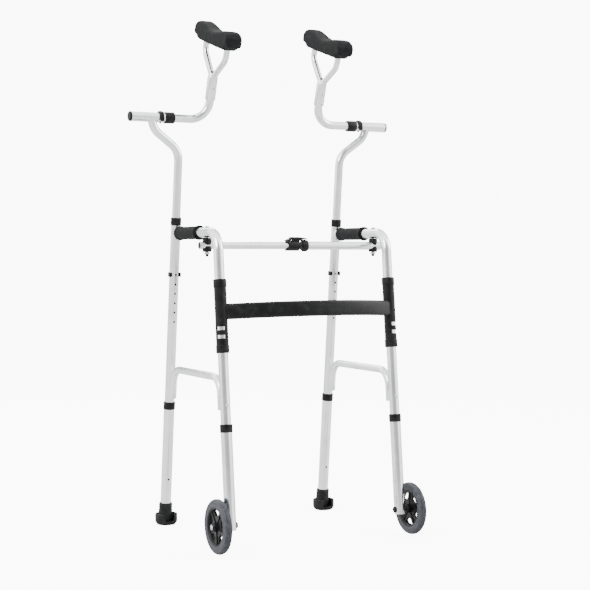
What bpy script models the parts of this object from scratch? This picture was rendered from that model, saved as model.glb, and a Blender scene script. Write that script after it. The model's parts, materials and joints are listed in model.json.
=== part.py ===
# Folding walker with two front wheels, two rear feet and a pair of adjustable armpit rests.
# Metres, +Z up, user facing -Y. The origin is on the floor below the middle of the whole object.
import math

import bmesh
import bpy
from mathutils import Matrix, Vector

MM = 0.001
GAP = 0.3 * MM  # running gap between separate pieces

# Tubes: outside and inside radii
TUBE_R, TUBE_BORE = 12.7 * MM, 11.3 * MM
LEG_R, LEG_BORE = 14.3 * MM, 13.0 * MM
CRUTCH_R, CRUTCH_BORE = 11.0 * MM, 9.6 * MM
BRACE_R = 9.5 * MM
PRONG_R = 8.0 * MM
BEND_R = 50.0 * MM
TUBE_SIDES = 16
HOLE_SIDES = 8
DEGREES_PER_STEP = 24

# Side frames: two flat A shapes, one each side
FRAME_X = 241.3 * MM
FRONT_FLOOR_Y, FRONT_SLOPE = -69.3 * MM, 0.1038  # front legs lean back going up
REAR_FLOOR_Y, REAR_SLOPE = 362.2 * MM, -0.1019  # rear posts lean forward going up
HANDLE_Z = 783.6 * MM
INNER_TUBE_END_Z = 140.0 * MM
POST_TOP_Z = 821.9 * MM
SIDE_BRACE_Z = 424.0 * MM
SIDE_BRACE_BEND_R = 45.0 * MM
SIDE_BRACE_END_Z = 347.0 * MM
SIDE_BRACE_RIVET_Z = 358.0 * MM
GRIP_START_Y, GRIP_END_Y = 122.7 * MM, 251.2 * MM
GRIP_R, GRIP_FLARE_R = 16.7 * MM, 18.8 * MM

# Legs that slide on the frame's tubes
FRONT_LEG_BOTTOM_Z, FRONT_LEG_TOP_Z = 55.5 * MM, 309.8 * MM
REAR_LEG_BOTTOM_Z, REAR_LEG_TOP_Z = 14.0 * MM, 330.9 * MM
REAR_LEG_HOLE_Z = 124.6 * MM
LEG_COLLAR_R = 15.75 * MM
COLLAR_LENGTH, COLLAR_OVERHANG = 20.0 * MM, 3.0 * MM
FOOT_MOUTH_Z, FOOT_MOUTH_R, FOOT_WAIST_R = 58.5 * MM, 17.2 * MM, 20.0 * MM
FOOT_BASE_R, FOOT_LOBE_Z, FOOT_AHEAD = 30.0 * MM, 30.0 * MM, 9.0 * MM

# Wheels
WHEEL_R, WHEEL_X, TYRE_WIDTH = 67.5 * MM, 274.3 * MM, 19.0 * MM
RIM_R, RIM_WIDTH, RIM_DEPTH = 47.5 * MM, 17.0 * MM, 6.0 * MM
HUB_R, AXLE_R, SPOKES = 11.0 * MM, 4.0 * MM, 5

# Front brace: a bowed bar between two sleeves that the side frames turn in
BRACE_ARC_Z, BRACE_AHEAD, BRACE_BOW = 587.3 * MM, 8.0 * MM, 67.7 * MM
BRACE_END_X, BRACE_HEIGHT, BRACE_THICK = 233.5 * MM, 39.3 * MM, 13.0 * MM
SLEEVE_LOW_Z, SLEEVE_HIGH_Z, SLEEVE_R = 486.3 * MM, 667.5 * MM, 15.5 * MM
BUSHING_R, BUSHING_LENGTH = 16.6 * MM, 19.0 * MM
WINDOW_Z, WINDOW_HEIGHT = (526.2 * MM, 546.6 * MM), 8.7 * MM

# Crutches: a tube in each rear post, a cross tube on top and an armpit rest
HOLE_R, PIN_R, HOLE_PITCH = 2.8 * MM, 2.5 * MM, 25.0 * MM
FRONT_HOLES, REAR_HOLES = 6, 7
HEIGHT_PIN_Z = 674.7 * MM
CRUTCH_FOOT_Z = 655.0 * MM
S_BEND_LOW_Z, S_BEND_HIGH_Z = 1000.0 * MM, 1051.0 * MM
S_BEND_HIGH_X, CROSS_JOINT_X = 311.0 * MM, 322.0 * MM
CROSS_Z, CROSS_INNER_X, CROSS_OUTER_X = 1083.5 * MM, 262.0 * MM, 377.0 * MM
CROSS_COLLAR_R, CROSS_COLLAR_LENGTH = 15.0 * MM, 26.0 * MM
WIDTH_PIN_X, WIDTH_PITCH, WIDTH_STEPS_IN, WIDTH_STEPS_OUT = 296.0 * MM, 10.0 * MM, 4, 2
ARMPIT_X, ARMPIT_TUBE_END_X, ARMPIT_LEAN = 162.0 * MM, 342.5 * MM, math.radians(17.5)
STEM_TOP, SHELL_LOW, SHELL_HIGH, SHELL_R = 108.0 * MM, 54.0 * MM, 119.0 * MM, 13.5 * MM
PRONG_SPREAD, PRONG_BEND, PRONG_TOP, PRONG_BEND_R = 68.0 * MM, 170.0 * MM, 218.0 * MM, 35.0 * MM
RIVET_HEIGHTS = (60.0 * MM, 86.0 * MM)
PAD_HALF_LENGTH, PAD_HALF_WIDTH, PAD_LOW = 109.0 * MM, 22.0 * MM, 197.0 * MM
PAD_SADDLE, PAD_HUMP, PAD_HUMP_AT = 236.0 * MM, 249.0 * MM, 93.0 * MM

# Top bar: two halves that meet in a clasp
BAR_Y, BAR_Z = 76.4 * MM, 751.0 * MM
RIGHT_BAR_R, LEFT_BAR_R, BAR_WALL = 9.25 * MM, 10.75 * MM, 1.3 * MM
BAR_OVERHANG = 21.0 * MM
BOLT_R, BOLT_HEAD_R, SADDLE_R = 3.0 * MM, 6.5 * MM, 11.5 * MM
CLASP_COLLAR_X, CLASP_COLLAR_R = (-14.4 * MM, 19.3 * MM), 13.75 * MM
CLASP_CAP_X, CLASP_CAP_R = (25.8 * MM, 41.1 * MM), 15.5 * MM
CLASP_CHAMFER = 3.5 * MM
LEVER_PIVOT_X, LEVER_RISE = -3.5 * MM, 18.6 * MM

SIDES = {"right": -1, "left": 1}
X_AXIS, Y_AXIS, Z_AXIS = Vector((1, 0, 0)), Vector((0, 1, 0)), Vector((0, 0, 1))

# The object is centred between the front of its wheels and the back of its feet.
AXLE_Z = WHEEL_R
AXLE_Y = FRONT_FLOOR_Y + FRONT_SLOPE * AXLE_Z
FOOT_Y = REAR_FLOOR_Y - FOOT_AHEAD
MIDDLE_Y = (AXLE_Y - WHEEL_R + FOOT_Y + FOOT_BASE_R) / 2

FRONT_UP = Vector((0, FRONT_SLOPE, 1)).normalized()
FRONT_BACK = Vector((0, 1, -FRONT_SLOPE)).normalized()
REAR_UP = Vector((0, REAR_SLOPE, 1)).normalized()
REAR_BACK = Vector((0, 1, -REAR_SLOPE)).normalized()
LEAN_UP = Vector((0, -math.sin(ARMPIT_LEAN), math.cos(ARMPIT_LEAN)))
LEAN_BACK = Vector((0, math.cos(ARMPIT_LEAN), math.sin(ARMPIT_LEAN)))


def at(x, y, z):
    """A point from its distance to the middle plane, its depth and its height."""
    return Vector((x, y - MIDDLE_Y, z))


def on_front_leg(side, z):
    return at(side * FRAME_X, FRONT_FLOOR_Y + FRONT_SLOPE * z, z)


def on_rear_post(side, z):
    return at(side * FRAME_X, REAR_FLOOR_Y + REAR_SLOPE * z, z)


def cross_centre(side, x):
    depth = REAR_FLOOR_Y + REAR_SLOPE * CROSS_Z
    return at(side * x, depth, CROSS_Z)


def on_armpit(side, across, up):
    """A point in the plane that the armpit rest leans in, from the middle of its stem."""
    return cross_centre(side, ARMPIT_X) + LEAN_BACK * across + LEAN_UP * up


# ---- Modelling helpers ----


def material(name, colour, roughness, metallic):
    made = bpy.data.materials.new(name)
    made.use_nodes = True
    shader = made.node_tree.nodes["Principled BSDF"]
    shader.inputs["Base Color"].default_value = (*colour, 1)
    shader.inputs["Roughness"].default_value = roughness
    shader.inputs["Metallic"].default_value = metallic
    return made


def place(origin, direction, across=None):
    """The matrix that puts a shape's own +Z along a direction and its +X near another."""
    up = direction.normalized()
    if across is None:
        across = X_AXIS if abs(up.x) < 0.9 else Y_AXIS
    right = (across - up * across.dot(up)).normalized()
    turn = Matrix((right, up.cross(right), up)).transposed()
    return Matrix.Translation(origin) @ turn.to_4x4()


def to_mesh(bm, name):
    bmesh.ops.recalc_face_normals(bm, faces=bm.faces[:])
    mesh = bpy.data.meshes.new(name)
    bm.to_mesh(mesh)
    bm.free()
    mesh.shade_smooth()
    mesh.set_sharp_from_angle(angle=math.radians(35))
    return mesh


def piece(bm, name, finish, body):
    """A finished sub-part, parented to the empty that its body turns or slides about."""
    made = bpy.data.objects.new(name, to_mesh(bm, name))
    made.data.materials.append(finish)
    bpy.context.scene.collection.objects.link(made)
    empty = bpy.data.objects[f"{body}_joint"]
    made.parent = empty
    made.matrix_parent_inverse = Matrix.Translation(-pivots[body])
    return made


def combine(target, operation, *shapes):
    """Joins helper shapes to a piece, or cuts them from it."""
    for shape in shapes:
        helper = bpy.data.objects.new(f"{target.name}_{operation.lower()}", to_mesh(shape, "helper"))
        bpy.context.scene.collection.objects.link(helper)
        helper.hide_render = True
        helper.display_type = "WIRE"
        modifier = target.modifiers.new(operation.lower(), "BOOLEAN")
        modifier.operation = operation
        modifier.solver = "EXACT"
        modifier.object = helper


def rod(radius, start, end, sides=TUBE_SIDES):
    """A solid round bar between two points."""
    bm = bmesh.new()
    along = end - start
    bmesh.ops.create_cone(
        bm,
        cap_ends=True,
        segments=sides,
        radius1=radius,
        radius2=radius,
        depth=along.length,
        matrix=place((start + end) / 2, along),
    )
    return bm


def block(size, centre, matrix=None):
    bm = bmesh.new()
    bmesh.ops.create_cube(bm, size=1)
    bmesh.ops.scale(bm, vec=size, verts=bm.verts[:])
    bmesh.ops.translate(bm, vec=centre, verts=bm.verts[:])
    if matrix:
        bmesh.ops.transform(bm, matrix=matrix, verts=bm.verts[:])
    return bm


def outline(points):
    """A flat closed wire through points given as (radius or x, height or z)."""
    bm = bmesh.new()
    corners = [bm.verts.new((x, 0, z)) for x, z in points]
    for first, second in zip(corners, corners[1:] + corners[:1]):
        bm.edges.new((first, second))
    return bm


def turned(points, matrix, steps=TUBE_SIDES):
    """A profile of (radius, height) turned once about its own Z axis."""
    bm = outline(points)
    bmesh.ops.spin(
        bm,
        geom=bm.verts[:] + bm.edges[:],
        cent=(0, 0, 0),
        axis=(0, 0, 1),
        dvec=(0, 0, 0),
        angle=math.tau,
        steps=steps,
        use_merge=True,
        use_duplicate=False,
    )
    bmesh.ops.remove_doubles(bm, verts=bm.verts[:], dist=1e-6)
    bmesh.ops.dissolve_degenerate(bm, edges=bm.edges[:], dist=1e-6)
    bmesh.ops.transform(bm, matrix=matrix, verts=bm.verts[:])
    return bm


def extruded(points, thickness, matrix):
    """A flat outline in X and Z, made thick along Y about its own plane."""
    bm = outline(points)
    face = bmesh.ops.contextual_create(bm, geom=bm.edges[:])["faces"]
    bmesh.ops.translate(bm, vec=(0, -thickness / 2, 0), verts=bm.verts[:])
    made = bmesh.ops.extrude_face_region(bm, geom=face)["geom"]
    moved = [item for item in made if isinstance(item, bmesh.types.BMVert)]
    bmesh.ops.translate(bm, vec=(0, thickness, 0), verts=moved)
    bmesh.ops.transform(bm, matrix=matrix, verts=bm.verts[:])
    return bm


def faces_of(geometry):
    return [item for item in geometry if isinstance(item, bmesh.types.BMFace)]


def with_rim(faces):
    """Faces with their edges and corners, so that extruding them leaves no face behind."""
    rim = {edge for face in faces for edge in face.edges} | {vert for face in faces for vert in face.verts}
    return faces + list(rim)


def bent_tube(start, heading, moves, outer, inner=0.0, sides=TUBE_SIDES):
    """A tube made as a bender makes it: each move is a length, or (radius, angle, direction) of a bend."""
    bm = bmesh.new()
    bmesh.ops.create_circle(bm, cap_ends=not inner, radius=outer, segments=sides)
    if inner:
        bmesh.ops.create_circle(bm, radius=inner, segments=sides)
        bmesh.ops.bridge_loops(bm, edges=bm.edges[:])
    bmesh.ops.transform(bm, matrix=place(start, heading), verts=bm.verts[:])
    end, point, heading = bm.faces[:], start.copy(), heading.normalized()
    for move in moves:
        if isinstance(move, float):
            growing = with_rim(end) if len(bm.faces) > len(end) else end
            end = faces_of(bmesh.ops.extrude_face_region(bm, geom=growing)["geom"])
            bmesh.ops.translate(bm, vec=heading * move, verts=list({v for f in end for v in f.verts}))
            point += heading * move
            continue
        radius, angle, direction = move
        toward = (direction - heading * direction.dot(heading)).normalized()
        centre, axis = point + toward * radius, heading.cross(toward)
        steps = max(2, round(math.degrees(angle) / DEGREES_PER_STEP))
        spun = bmesh.ops.spin(
            bm,
            geom=with_rim(end),
            cent=centre,
            axis=axis,
            dvec=(0, 0, 0),
            angle=angle,
            steps=steps,
            use_duplicate=False,
        )
        end = faces_of(spun["geom_last"])
        turn = Matrix.Rotation(angle, 3, axis)
        point, heading = centre + turn @ (point - centre), turn @ heading
    return bm


def straight_tube(start, end, outer, inner, sides=TUBE_SIDES):
    along = end - start
    return bent_tube(start, along, [along.length], outer, inner, sides)


def headed_rivet(start, end, radius=PIN_R, head_r=4.6 * MM, head_height=2.2 * MM):
    """A round shank with a domed head at both ends, as one turned shape."""
    length = (end - start).length
    profile = [
        (0, -head_height),
        (head_r * 0.6, -head_height * 0.75),
        (head_r, 0),
        (radius, 0),
        (radius, length),
        (head_r, length),
        (head_r * 0.6, length + head_height * 0.75),
        (0, length + head_height),
    ]
    return turned(profile, place(start, end - start), steps=10)


def tube_collar(name, finish, body, mouth, up, tube_r, sliding_r, outer_r, length=COLLAR_LENGTH):
    """A ring round the mouth of an outer tube, with a lip that guides the tube inside it."""
    low = COLLAR_OVERHANG - length
    profile = [
        (tube_r + GAP, low),
        (outer_r, low),
        (outer_r, COLLAR_OVERHANG),
        (sliding_r + GAP, COLLAR_OVERHANG),
        (sliding_r + GAP, GAP),
        (tube_r + GAP, GAP),
    ]
    return piece(turned(profile, place(mouth, up)), name, finish, body)


# ---- Side frame ----


def front_leg_tube(name, side, aluminium, body):
    """The leg, its top bend and the handle in one bent tube, notched where it meets the rear post."""
    corner = on_front_leg(side, HANDLE_Z)
    start = on_front_leg(side, INNER_TUBE_END_Z)
    turn = FRONT_UP.angle(Y_AXIS)
    setback = BEND_R * math.tan(turn / 2)
    post = on_rear_post(side, HANDLE_Z)
    moves = [
        (corner - start).length - setback,
        (BEND_R, turn, Y_AXIS),
        post.y - corner.y - setback,
    ]
    bent = bent_tube(start, FRONT_UP, moves, TUBE_R, TUBE_BORE)
    tube = piece(bent, f"{name}_front_leg_tube", aluminium, body)
    reach = 60 * MM
    rivet = on_front_leg(side, SIDE_BRACE_RIVET_Z)
    bolt = at(side * FRAME_X, BAR_Y, HANDLE_Z)
    combine(
        tube,
        "DIFFERENCE",
        rod(TUBE_R + GAP, post - REAR_UP * reach, post + REAR_UP * reach, 24),
        rod(HOLE_R, rivet - FRONT_BACK * 20 * MM, rivet + FRONT_BACK * 20 * MM, HOLE_SIDES),
        rod(BOLT_R + GAP, bolt - Z_AXIS * 20 * MM, bolt + Z_AXIS * 20 * MM, 12),
    )


def rear_post(name, side, aluminium, body):
    """The upright that holds the crutch tube, with a row of holes for the height pin."""
    start, end = on_rear_post(side, INNER_TUBE_END_Z), on_rear_post(side, POST_TOP_Z)
    post = piece(straight_tube(start, end, TUBE_R, TUBE_BORE), f"{name}_rear_post", aluminium, body)
    top_hole = on_rear_post(side, HEIGHT_PIN_Z)
    holes = []
    for count, way in ((FRONT_HOLES, -1), (REAR_HOLES, 1)):
        for index in range(count):
            middle = top_hole - REAR_UP * HOLE_PITCH * index
            near, far = middle + REAR_BACK * way * 9 * MM, middle + REAR_BACK * way * 20 * MM
            holes.append(rod(HOLE_R, near, far, HOLE_SIDES))
    rivet = on_rear_post(side, SIDE_BRACE_RIVET_Z)
    holes.append(rod(HOLE_R, rivet - REAR_BACK * 20 * MM, rivet + REAR_BACK * 20 * MM, HOLE_SIDES))
    combine(post, "DIFFERENCE", *holes)


def side_brace(name, side, aluminium, body):
    """A bar bent down at both ends beside the legs, with the rivets that hold it to them."""
    beside = TUBE_R + GAP + BRACE_R
    front = on_front_leg(side, SIDE_BRACE_END_Z) + FRONT_BACK * beside
    rear = on_rear_post(side, SIDE_BRACE_END_Z) - REAR_BACK * beside
    front_corner = front + FRONT_UP * ((SIDE_BRACE_Z - front.z) / FRONT_UP.z)
    rear_corner = rear + REAR_UP * ((SIDE_BRACE_Z - rear.z) / REAR_UP.z)
    front_turn, rear_turn = FRONT_UP.angle(Y_AXIS), Y_AXIS.angle(-REAR_UP)
    front_back = SIDE_BRACE_BEND_R * math.tan(front_turn / 2)
    rear_back = SIDE_BRACE_BEND_R * math.tan(rear_turn / 2)
    moves = [
        (front_corner - front).length - front_back,
        (SIDE_BRACE_BEND_R, front_turn, Y_AXIS),
        rear_corner.y - front_corner.y - front_back - rear_back,
        (SIDE_BRACE_BEND_R, rear_turn, -REAR_UP),
        (rear_corner - rear).length - rear_back,
    ]
    bent = bent_tube(front, FRONT_UP, moves, BRACE_R, sides=14)
    brace = piece(bent, f"{name}_side_brace", aluminium, body)
    front_rivet = on_front_leg(side, SIDE_BRACE_RIVET_Z)
    rear_rivet = on_rear_post(side, SIDE_BRACE_RIVET_Z)
    leg_side, brace_side = TUBE_R + GAP, beside + BRACE_R - 0.5 * MM
    combine(
        brace,
        "UNION",
        headed_rivet(front_rivet - FRONT_BACK * leg_side, front_rivet + FRONT_BACK * brace_side),
        headed_rivet(rear_rivet - REAR_BACK * brace_side, rear_rivet + REAR_BACK * leg_side),
    )


def hand_grip(name, side, foam, body):
    lip = 5 * MM
    length = GRIP_END_Y - GRIP_START_Y
    profile = [
        (TUBE_R + GAP, 0),
        (GRIP_FLARE_R - 1 * MM, 0),
        (GRIP_FLARE_R, 1 * MM),
        (GRIP_FLARE_R, lip),
        (GRIP_R, 2 * lip),
        (GRIP_R, length - 2 * lip),
        (GRIP_FLARE_R, length - lip),
        (GRIP_FLARE_R, length - 1 * MM),
        (GRIP_FLARE_R - 1 * MM, length),
        (TUBE_R + GAP, length),
    ]
    start = at(side * FRAME_X, GRIP_START_Y, HANDLE_Z)
    piece(turned(profile, place(start, Y_AXIS)), f"{name}_hand_grip", foam, body)


# ---- Legs, wheels and feet ----


def front_leg(name, side, finishes, leg_body, wheel_body):
    bottom, top = on_front_leg(side, FRONT_LEG_BOTTOM_Z), on_front_leg(side, FRONT_LEG_TOP_Z)
    tube = straight_tube(bottom, top, LEG_R, LEG_BORE)
    leg = piece(tube, f"{name}_front_lower_leg", finishes["aluminium"], leg_body)
    axle_at = at(side * FRAME_X, AXLE_Y, AXLE_Z)
    out = X_AXIS * side
    combine(leg, "DIFFERENCE", rod(AXLE_R + GAP, axle_at - out * 20 * MM, axle_at + out * 20 * MM, 12))
    plastic = finishes["plastic"]
    tube_collar(f"{name}_front_collar", plastic, leg_body, top, FRONT_UP, LEG_R, TUBE_R, LEG_COLLAR_R)
    head_at, hub_half = -LEG_R - GAP, 15.5 * MM
    outer = WHEEL_X - FRAME_X + hub_half + GAP
    profile = [
        (0, head_at - 3.5 * MM),
        (6.5 * MM, head_at - 3.5 * MM),
        (8 * MM, head_at - 2 * MM),
        (8 * MM, head_at),
        (AXLE_R, head_at),
        (AXLE_R, outer),
        (7 * MM, outer),
        (7 * MM, outer + 2 * MM),
        (4.5 * MM, outer + 3.5 * MM),
        (0, outer + 3.5 * MM),
    ]
    piece(turned(profile, place(axle_at, out), 14), f"{name}_axle", finishes["steel"], leg_body)
    wheel_at = place(at(side * WHEEL_X, AXLE_Y, AXLE_Z), out)
    wheel(name, wheel_at, hub_half, finishes, wheel_body)


def wheel(name, wheel_at, hub_half, finishes, body):
    """A rubber tyre on a spoked rim; the axle runs through the hub."""
    half, shoulder = TYRE_WIDTH / 2, 6 * MM
    tyre = [(RIM_R + GAP, -half + 1 * MM), (RIM_R + 2.5 * MM, -half)]
    for step in range(5):
        angle = -math.pi / 2 + math.pi * step / 4
        tyre.append((WHEEL_R - shoulder + shoulder * math.cos(angle), half * math.sin(angle)))
    tyre += [(RIM_R + 2.5 * MM, half), (RIM_R + GAP, half - 1 * MM)]
    piece(turned(tyre, wheel_at, 32), f"{name}_tyre", finishes["tyre"], body)
    half = RIM_WIDTH / 2
    rim = [
        (RIM_R - RIM_DEPTH, -half + 4 * MM),
        (RIM_R - 3 * MM, -half),
        (RIM_R, -half),
        (RIM_R, half),
        (RIM_R - 3 * MM, half),
        (RIM_R - RIM_DEPTH, half - 4 * MM),
    ]
    hub = piece(turned(rim, wheel_at, 20), f"{name}_hub", finishes["plastic"], body)
    bore = AXLE_R + GAP
    barrel = [(bore, -hub_half), (HUB_R, -hub_half), (HUB_R, hub_half), (bore, hub_half)]
    spoke_middle = (HUB_R + RIM_R - RIM_DEPTH) / 2
    spoke_length = RIM_R - RIM_DEPTH - HUB_R + 5 * MM
    spokes = []
    for index in range(SPOKES):
        turn = wheel_at @ Matrix.Rotation(math.tau * index / SPOKES, 4, "Z")
        spokes.append(block((spoke_length, 9 * MM, 7 * MM), (spoke_middle, 0, 0), turn))
    combine(hub, "UNION", turned(barrel, wheel_at), *spokes)


def rear_leg(name, side, finishes, body):
    bottom, top = on_rear_post(side, REAR_LEG_BOTTOM_Z), on_rear_post(side, REAR_LEG_TOP_Z)
    tube = straight_tube(bottom, top, LEG_R, LEG_BORE)
    leg = piece(tube, f"{name}_rear_lower_leg", finishes["aluminium"], body)
    hole = on_rear_post(side, REAR_LEG_HOLE_Z)
    combine(leg, "DIFFERENCE", rod(HOLE_R, hole - REAR_BACK * 20 * MM, hole, HOLE_SIDES))
    tube_collar(f"{name}_rear_collar", finishes["plastic"], body, top, REAR_UP, LEG_R, TUBE_R, LEG_COLLAR_R)
    rear_foot(name, side, finishes["rubber"], body)


def rear_foot(name, side, rubber, body):
    """A rubber socket on a round base whose rim stands up in a lobe at each side."""
    base_at = at(side * FRAME_X, FOOT_Y, 0)
    floor, wall = 9 * MM, 5.5 * MM
    base = [
        (0, 0),
        (FOOT_BASE_R - 8 * MM, 0),
        (FOOT_BASE_R - 3 * MM, 4 * MM),
        (FOOT_BASE_R, floor),
        (FOOT_BASE_R, FOOT_LOBE_Z - 1 * MM),
        (FOOT_BASE_R - 1 * MM, FOOT_LOBE_Z),
        (FOOT_BASE_R - wall, FOOT_LOBE_Z),
        (FOOT_BASE_R - wall - 1 * MM, floor),
        (0, floor),
    ]
    foot = piece(turned(base, place(base_at, Z_AXIS), 20), f"{name}_rear_foot", rubber, body)
    gap_width = 26 * MM
    combine(foot, "DIFFERENCE", block((gap_width, 90 * MM, 40 * MM), base_at + Z_AXIS * (floor + 21 * MM)))
    start, mouth = on_rear_post(side, 5 * MM), on_rear_post(side, FOOT_MOUTH_Z)
    height = (mouth - start).length
    waist = (FOOT_MOUTH_R + 0.6 * MM, height * 0.7)
    socket = [(0, 0), (FOOT_WAIST_R, 0), waist, (FOOT_MOUTH_R, height), (0, height)]
    combine(foot, "UNION", turned(socket, place(start, REAR_UP)))
    leg_end = on_rear_post(side, REAR_LEG_BOTTOM_Z) - REAR_UP * GAP
    combine(foot, "DIFFERENCE", rod(LEG_R + GAP, leg_end, mouth + REAR_UP * 10 * MM, TUBE_SIDES))


# ---- Front brace ----


def window_cutter(side, z):
    """A curved slot through the outer front of a sleeve."""
    middle = on_front_leg(side, z)
    inner, outer, half = 11 * MM, 20 * MM, WINDOW_HEIGHT / 2
    profile = [(inner, -half), (outer, -half), (outer, half), (inner, half)]
    span = math.radians(110)
    facing = (X_AXIS * side * 0.62 - FRONT_BACK * 0.78).normalized()
    bm = outline(profile)
    face = bmesh.ops.contextual_create(bm, geom=bm.edges[:])["faces"]
    bmesh.ops.rotate(bm, cent=(0, 0, 0), matrix=Matrix.Rotation(-span / 2, 3, "Z"), verts=bm.verts[:])
    bmesh.ops.spin(
        bm,
        geom=face,
        cent=(0, 0, 0),
        axis=(0, 0, 1),
        dvec=(0, 0, 0),
        angle=span,
        steps=5,
        use_duplicate=False,
    )
    bmesh.ops.transform(bm, matrix=place(middle, FRONT_UP, facing), verts=bm.verts[:])
    return bm


def front_brace(plastic, body):
    """The bowed bar with both sleeves and their end bushings: the base that everything else turns on."""
    half_width, rise = BRACE_END_X, BRACE_BOW
    radius = (half_width**2 + rise**2) / (2 * rise)
    half_angle = math.asin(half_width / radius)
    middle = at(0, FRONT_FLOOR_Y + FRONT_SLOPE * BRACE_ARC_Z, BRACE_ARC_Z) - FRONT_BACK * BRACE_AHEAD
    centre = middle - FRONT_BACK * (rise - radius)
    corner = BRACE_THICK / 2
    straight = BRACE_HEIGHT / 2 - corner
    section = []
    for end in (1, -1):
        for step in range(5):
            angle = math.pi * step / 4
            across, up = corner * math.cos(angle), straight + corner * math.sin(angle)
            section.append((across * end, up * end))
    bar = outline(section)
    face = bmesh.ops.contextual_create(bar, geom=bar.edges[:])["faces"]
    middle_of_bar = place(centre - FRONT_BACK * radius, FRONT_UP, FRONT_BACK)
    bmesh.ops.transform(bar, matrix=middle_of_bar, verts=bar.verts[:])
    start_turn = Matrix.Rotation(-half_angle, 3, FRONT_UP)
    bmesh.ops.rotate(bar, cent=centre, matrix=start_turn, verts=bar.verts[:])
    bmesh.ops.spin(
        bar,
        geom=face,
        cent=centre,
        axis=FRONT_UP,
        dvec=(0, 0, 0),
        angle=2 * half_angle,
        steps=12,
        use_duplicate=False,
    )
    brace = piece(bar, "front_brace", plastic, body)
    for side in SIDES.values():
        low, high = on_front_leg(side, SLEEVE_LOW_Z), on_front_leg(side, SLEEVE_HIGH_Z)
        height, chamfer = (high - low).length, 1 * MM
        sleeve = [
            (0, 0),
            (BUSHING_R - chamfer, 0),
            (BUSHING_R, chamfer),
            (BUSHING_R, BUSHING_LENGTH),
            (SLEEVE_R, BUSHING_LENGTH + chamfer),
            (SLEEVE_R, height - BUSHING_LENGTH - chamfer),
            (BUSHING_R, height - BUSHING_LENGTH),
            (BUSHING_R, height - chamfer),
            (BUSHING_R - chamfer, height),
            (0, height),
        ]
        combine(brace, "UNION", turned(sleeve, place(low, FRONT_UP)))
    for side in SIDES.values():
        low, high = on_front_leg(side, SLEEVE_LOW_Z), on_front_leg(side, SLEEVE_HIGH_Z)
        reach = FRONT_UP * 10 * MM
        combine(brace, "DIFFERENCE", rod(TUBE_R + GAP, low - reach, high + reach, TUBE_SIDES))
        combine(brace, "DIFFERENCE", *[window_cutter(side, z) for z in WINDOW_Z])


# ---- Top bar and clasp ----


def bar_half(name, side, radius, inner_x, finishes, body):
    """Half of the top bar with the saddles and the bolt that hang it under the handle."""
    bolt_at = at(side * FRAME_X, BAR_Y, BAR_Z)
    outer_end = at(side * (FRAME_X + BAR_OVERHANG), BAR_Y, BAR_Z)
    inner_end = at(inner_x, BAR_Y, BAR_Z)
    bar = piece(
        straight_tube(outer_end, inner_end, radius, radius - BAR_WALL),
        f"{name}_bar_half",
        finishes["aluminium"],
        body,
    )
    down, up = Z_AXIS * -25 * MM, Z_AXIS * 25 * MM
    combine(bar, "DIFFERENCE", rod(BOLT_R + GAP, bolt_at + down, bolt_at + up, 12))
    reach = X_AXIS * 20 * MM
    saddle_top = at(side * FRAME_X, BAR_Y, HANDLE_Z - TUBE_R - GAP)
    saddle = rod(SADDLE_R, bolt_at + Z_AXIS * 2 * MM, saddle_top)
    upper = piece(saddle, f"{name}_upper_saddle", finishes["plastic"], body)
    combine(
        upper,
        "DIFFERENCE",
        rod(radius + GAP, bolt_at - reach, bolt_at + reach),
        rod(BOLT_R + GAP, bolt_at, saddle_top + up, 12),
    )
    head_at = HANDLE_Z + TUBE_R + GAP - BAR_Z
    bolt = [
        (0, -24 * MM),
        (BOLT_R, -24 * MM),
        (BOLT_R, head_at),
        (BOLT_HEAD_R, head_at),
        (BOLT_HEAD_R, head_at + 2 * MM),
        (BOLT_HEAD_R * 0.6, head_at + 3.8 * MM),
        (0, head_at + 4 * MM),
    ]
    bolt = piece(turned(bolt, place(bolt_at, Z_AXIS), 12), f"{name}_hinge_bolt", finishes["steel"], body)
    cup_low, nut_low = -16 * MM, -22 * MM
    lower = rod(SADDLE_R, bolt_at + Z_AXIS * cup_low, bolt_at - Z_AXIS * 2 * MM)
    nut = rod(6.5 * MM, bolt_at + Z_AXIS * nut_low, bolt_at + Z_AXIS * (cup_low + 0.5 * MM), 6)
    hollow = rod(radius + GAP, bolt_at - reach, bolt_at + reach)
    shank = rod(BOLT_R, bolt_at + Z_AXIS * (cup_low + 0.5 * MM), bolt_at + Z_AXIS * 20 * MM, 12)
    combine(bolt, "UNION", lower, nut)
    combine(bolt, "DIFFERENCE", hollow)
    combine(bolt, "UNION", shank)


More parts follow.
